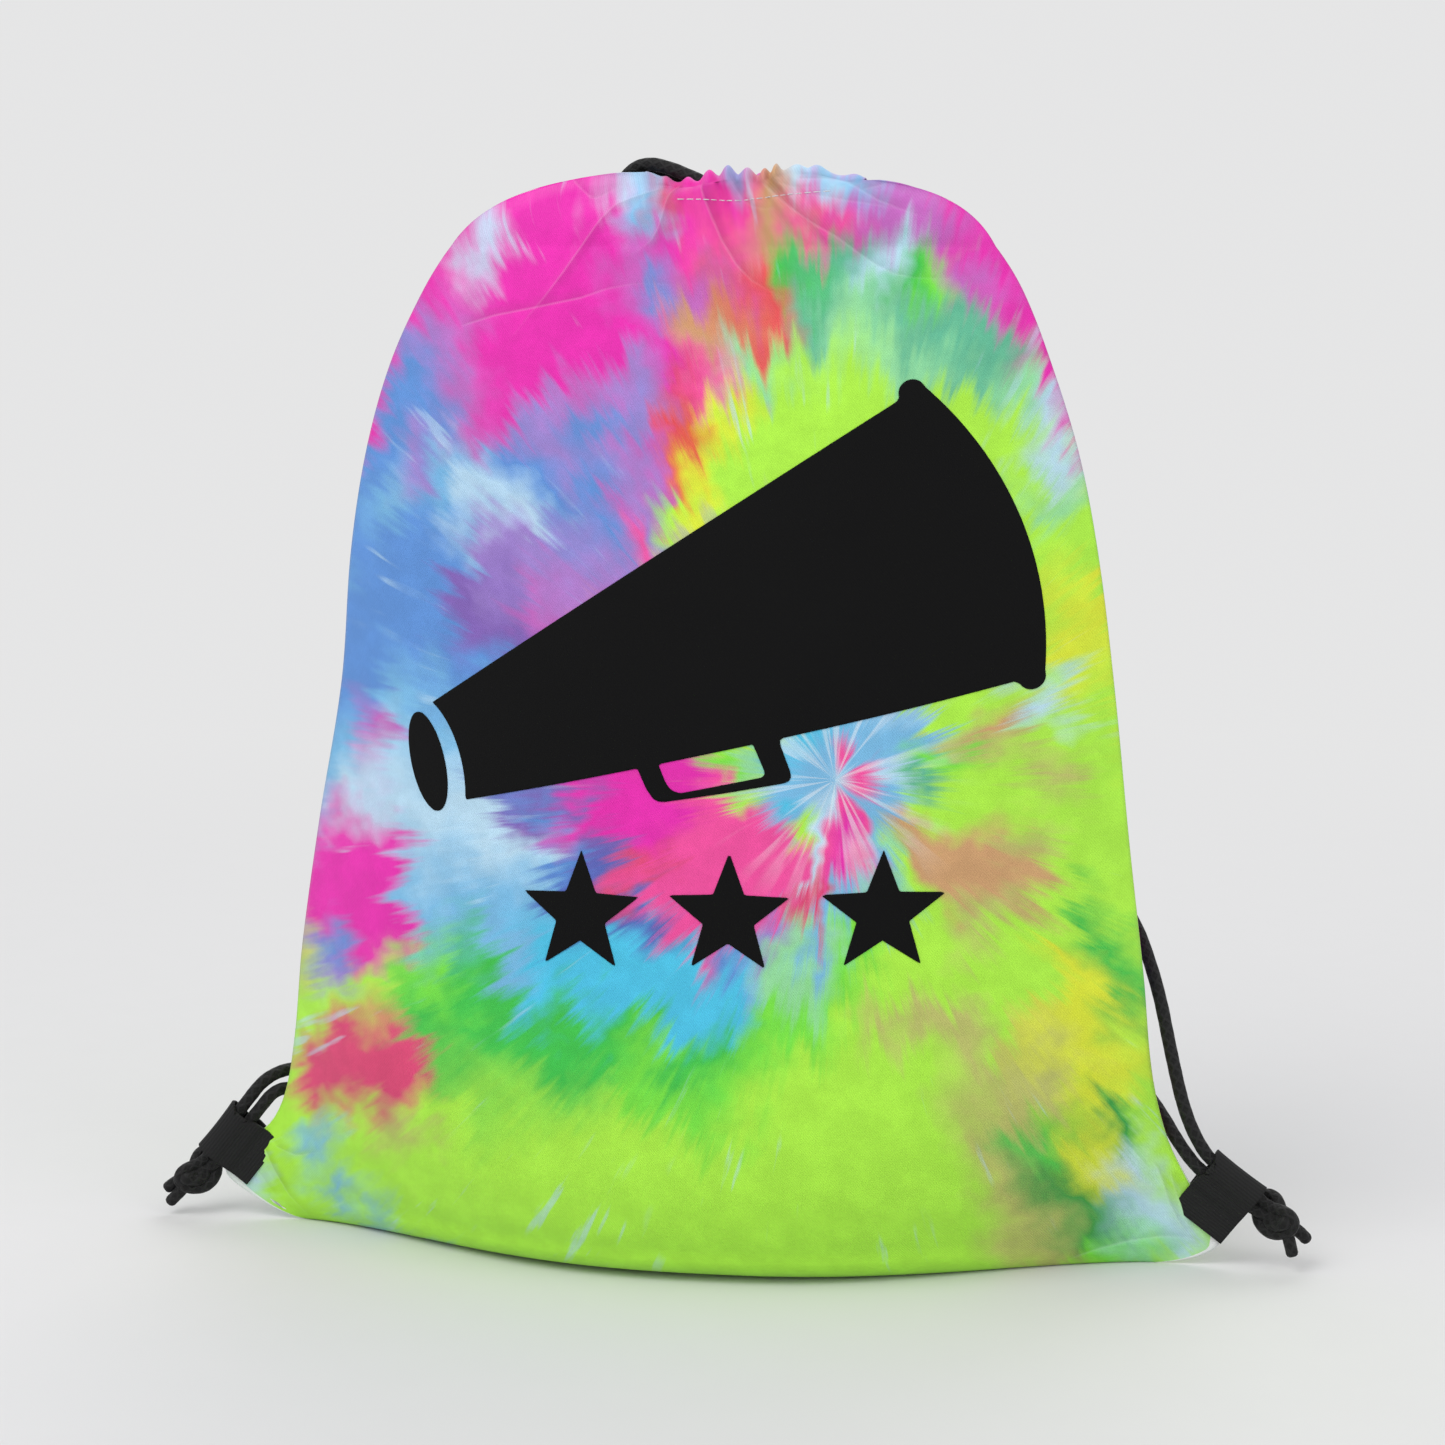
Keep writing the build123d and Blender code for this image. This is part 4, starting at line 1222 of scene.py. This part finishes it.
def make_print(name, shape, low, high, step, replaced):
    flat, faces = filled(shape, low, high, step)
    x, z = flat[:, 0], flat[:, 1]
    points = np.stack([x, -front_depth(x, z) - film_proud, z], axis=-1)
    piece = make_piece(name, points, faces, "bag", ink, flat * MM, replaced)
    solid = piece.modifiers.new("thickness", "SOLIDIFY")
    solid.thickness = film_thickness * MM
    solid.offset = -1
    return piece


make_print("megaphone_flock", megaphone_shape(), (-106, 140), (128, 310), 1.0, ["megaphone_print"])
star_places = [(-38.0, 126.0), (12.0, 127.0), (62.0, 128.0)]
make_print("star_flock", union(*(star_shape(c) for c in star_places)), (-62, 102), (86, 152), 0.8, ["star_print"])


# ---------------------------------------------------------------------------------------------
# Corner tabs
# ---------------------------------------------------------------------------------------------
def make_tab(side):
    """A band of tape folded round the tunnel, its two ends sewn together into the side seam."""
    tab = tabs[side]
    # The band's line in the plane across the tunnel: (across, out), from the seam round and back
    half_slot, half_out, thick = 6.0, 3.3, 1.0
    line = [(tab.reach + 4, -0.75), (9.5, -0.9), (6.6, -2.2)]
    for k in range(13):
        angle = math.radians(-52 - k * 256 / 12)
        line.append((-0.4 + half_slot * math.cos(angle), half_out * math.sin(angle)))
    line += [(6.6, 2.2), (9.5, 0.9), (tab.reach + 4, 0.75)]
    smooth_line = spline_points([(a, b, 0) for a, b in line], 6)[:, :2]
    along_tape = np.append(0, np.cumsum(np.linalg.norm(np.diff(smooth_line, axis=0), axis=1)))
    rows, uv = [], []
    steps = np.linspace(-1, 1, 15)
    for (across, out), far in zip(smooth_line, along_tape):
        shallow = smooth(-across, -8.0, 5.0)
        for s in steps:
            # The tunnel's mouth dips in a V on each face, and the band waists a little in the middle
            notch = 3.4 * max(0.0, 1 - abs(across + 0.5) / 5.0) * abs(out) / half_out * (s < -0.99)
            pinch = 1 - 0.05 * (1 - s * s) * shallow
            flare = 1 + 0.10 * s * s * shallow
            rows.append(tab.at(10.4 * s + notch, across * pinch, out * flare))
            uv.append((far * MM, 10 * s * MM))
    piece = make_piece(
        side + "_tape_tab",
        np.array(rows),
        grid_faces(len(smooth_line), len(steps)),
        "bag",
        tape,
        np.array(uv),
        [side + "_corner_tab"],
    )
    solid = piece.modifiers.new("thickness", "SOLIDIFY")
    solid.thickness = thick * MM
    solid.offset = 0
    bevel = piece.modifiers.new("edge", "BEVEL")
    bevel.width = 0.25 * MM
    bevel.segments = 2
    bevel.limit_method = "ANGLE"


for side in tabs:
    make_tab(side)


# ---------------------------------------------------------------------------------------------
# Stitches
# ---------------------------------------------------------------------------------------------
def stitch_row(line, outward, length=2.3, gap=1.0, radius=0.22, sides=6):
    """Separate stitches along a line of points, each a short thread that dips in at its ends."""
    far = np.append(0, np.cumsum(np.linalg.norm(np.diff(line, axis=0), axis=1)))
    parts = []
    for start in np.arange(0.5, far[-1] - length, length + gap):
        at = np.linspace(start, start + length, 6)
        points = np.stack([np.interp(at, far, line[:, k]) for k in range(3)], axis=-1)
        normal = np.stack([np.interp(at, far, outward[:, k]) for k in range(3)], axis=-1)
        rise = radius * 1.5 * np.sin(np.linspace(0, np.pi, 6)) - radius * 0.6
        parts.append(tube_mesh(points + normal * rise[:, None], radius, sides, 0.3))
    return join(parts)


def make_casing_stitches(name, side, replaced):
    u = u_line
    x, depth, z = upper_cloth(u, 0.7, side)
    lift, _ = surface_detail(x, z, side)
    fade = 1 - np.abs(u) ** 10
    depth = depth + lift * fade + (gather_reach + 0.35) * gather_at(x, z, side) * fade - 0.56
    keep = (x > -12) & (x < 40)
    line = np.stack([x, side * depth, z], axis=-1)[keep]
    tangent = np.gradient(line, axis=0)
    outward = np.stack([-tangent[:, 1], tangent[:, 0], 0 * tangent[:, 0]], axis=-1)
    outward *= np.sign(outward[:, 1] * side)[:, None]
    outward /= np.linalg.norm(outward, axis=1)[:, None]
    points, faces, uv = stitch_row(line, outward, radius=0.17)
    weld(make_piece(name, points, faces, "bag", pale_thread, uv, [replaced]))


make_casing_stitches("front_casing_stitches", -1, "front_casing_stitching")
make_casing_stitches("back_casing_stitches", 1, "back_casing_stitching")


def make_tab_stitches(side):
    """Two rows of stitches across the tape, on both faces, where it is sewn to the seam."""
    tab = tabs[side]
    parts = []
    for face in (-1, 1):
        for across in (8.6, 10.4):
            out = face * (1.55 if across < 9 else 1.3)
            line = np.array([tab.at(s, across, out) for s in np.linspace(-8.5, 8.5, 18)])
            outward = np.tile(np.array((0.0, -face, 0.0)), (len(line), 1))
            parts.append(stitch_row(line, outward, 2.0, 0.8, 0.2))
    points, faces, uv = join(parts)
    weld(make_piece(side + "_tab_stitches", points, faces, "bag", dark_thread, uv))


for side in tabs:
    make_tab_stitches(side)


# ---------------------------------------------------------------------------------------------
# Carried-over frame nodes
# ---------------------------------------------------------------------------------------------
def dress(node, material):
    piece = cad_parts[node]
    piece.data.materials.clear()
    piece.data.materials.append(material)
    for polygon in piece.data.polygons:
        polygon.material_index = 0


def overlock():
    """A pale serged edge: loops of thread across the seam allowance."""
    nodes = Nodes("overlocked_edge")
    place = nodes.place()
    x, _, z = nodes.split(place)
    loops = nodes.math("SINE", nodes.times(nodes.plus(z, x), 2 * math.pi / 0.0024))
    fibre = nodes.noise(place, 1 / 0.0006, 2.0)
    height = nodes.plus(loops, nodes.times(fibre, 0.6))
    # Painted shade: the dips between the loops are darker than their crests, with random fibre tone mixed in
    colour = nodes.mix(nodes.range(height, -0.6, 1.2), (0.70, 0.72, 0.72), (0.92, 0.93, 0.92))
    rough = nodes.range(fibre, 0.3, 0.7, 0.7, 0.88)
    return nodes.finish(colour, rough, nodes.bump(height, 0.0004, 0.7), specular=0.2)


serged = overlock()
for node in ("left_side_seam", "right_side_seam", "bottom_seam"):
    dress(node, serged)


# ---------------------------------------------------------------------------------------------
# Studio
# ---------------------------------------------------------------------------------------------
backdrop = (0.900, 0.900, 0.902)  # as seen


def make_floor():
    """A round pale floor whose far part fades to the backdrop's own tone."""
    rings, sides = 60, 96
    points, faces = [(0.0, 0.0, 0.0)], []
    for i in range(1, rings + 1):
        radius = 12000.0 * (i / rings) ** 2.2
        for j in range(sides):
            angle = 2 * math.pi * j / sides
            points.append((radius * math.cos(angle), radius * math.sin(angle), 0.0))
    for j in range(sides):
        k = (j + 1) % sides
        faces.append((0, 1 + j, 1 + k))
        for i in range(rings - 1):
            a, b = 1 + i * sides, 1 + (i + 1) * sides
            faces.append((a + j, b + j, b + k, a + k))
    mesh = bpy.data.meshes.new("floor")
    mesh.from_pydata([tuple(c * MM for c in p) for p in points], [], faces)
    floor = bpy.data.objects.new("floor", mesh)
    bpy.context.scene.collection.objects.link(floor)
    nodes = Nodes("studio_floor")
    place = nodes.place()
    length = nodes.node("ShaderNodeVectorMath", operation="LENGTH")
    nodes.put(length.inputs[0], place)
    far = nodes.range(length.outputs["Value"], 0.35, 1.3)
    grain = nodes.noise(place, 40.0, 3.0)
    nodes.finish(
        nodes.ramp(grain, [(0.0, (0.838, 0.838, 0.841)), (1.0, (0.844, 0.844, 0.847))]), 0.9, specular=0.0
    )
    glow = nodes.node("ShaderNodeEmission")
    glow.inputs["Color"].default_value = linear(backdrop)
    blend = nodes.node("ShaderNodeMixShader")
    nodes.put(blend.inputs[0], far)
    nodes.put(blend.inputs[1], nodes.shader.outputs[0])
    nodes.put(blend.inputs[2], glow.outputs[0])
    nodes.put(nodes.tree.nodes["Material Output"].inputs["Surface"], blend.outputs[0])
    mesh.materials.append(nodes.material)


def make_world():
    world = bpy.data.worlds.new("studio")
    bpy.context.scene.world = world
    world.use_nodes = True
    background = world.node_tree.nodes["Background"]
    background.inputs["Color"].default_value = linear(backdrop)
    background.inputs["Strength"].default_value = 1.0


def make_light(name, azimuth, elevation, distance, size, power):
    """A square soft light that faces the middle of the bag."""
    data = bpy.data.lights.new(name, "AREA")
    data.shape = "SQUARE"
    data.size = size
    data.energy = power
    light = bpy.data.objects.new(name, data)
    bpy.context.scene.collection.objects.link(light)
    aim(light, (0, 0, 0.18), azimuth, elevation, distance)


make_floor()
make_world()
make_light("key", -35, 50, 1.9, 1.2, 14)
make_light("fill", 60, 30, 2.1, 1.4, 6)
make_light("rim", 175, 45, 2.1, 1.2, 8)
bpy.context.scene.view_settings.view_transform = "Standard"
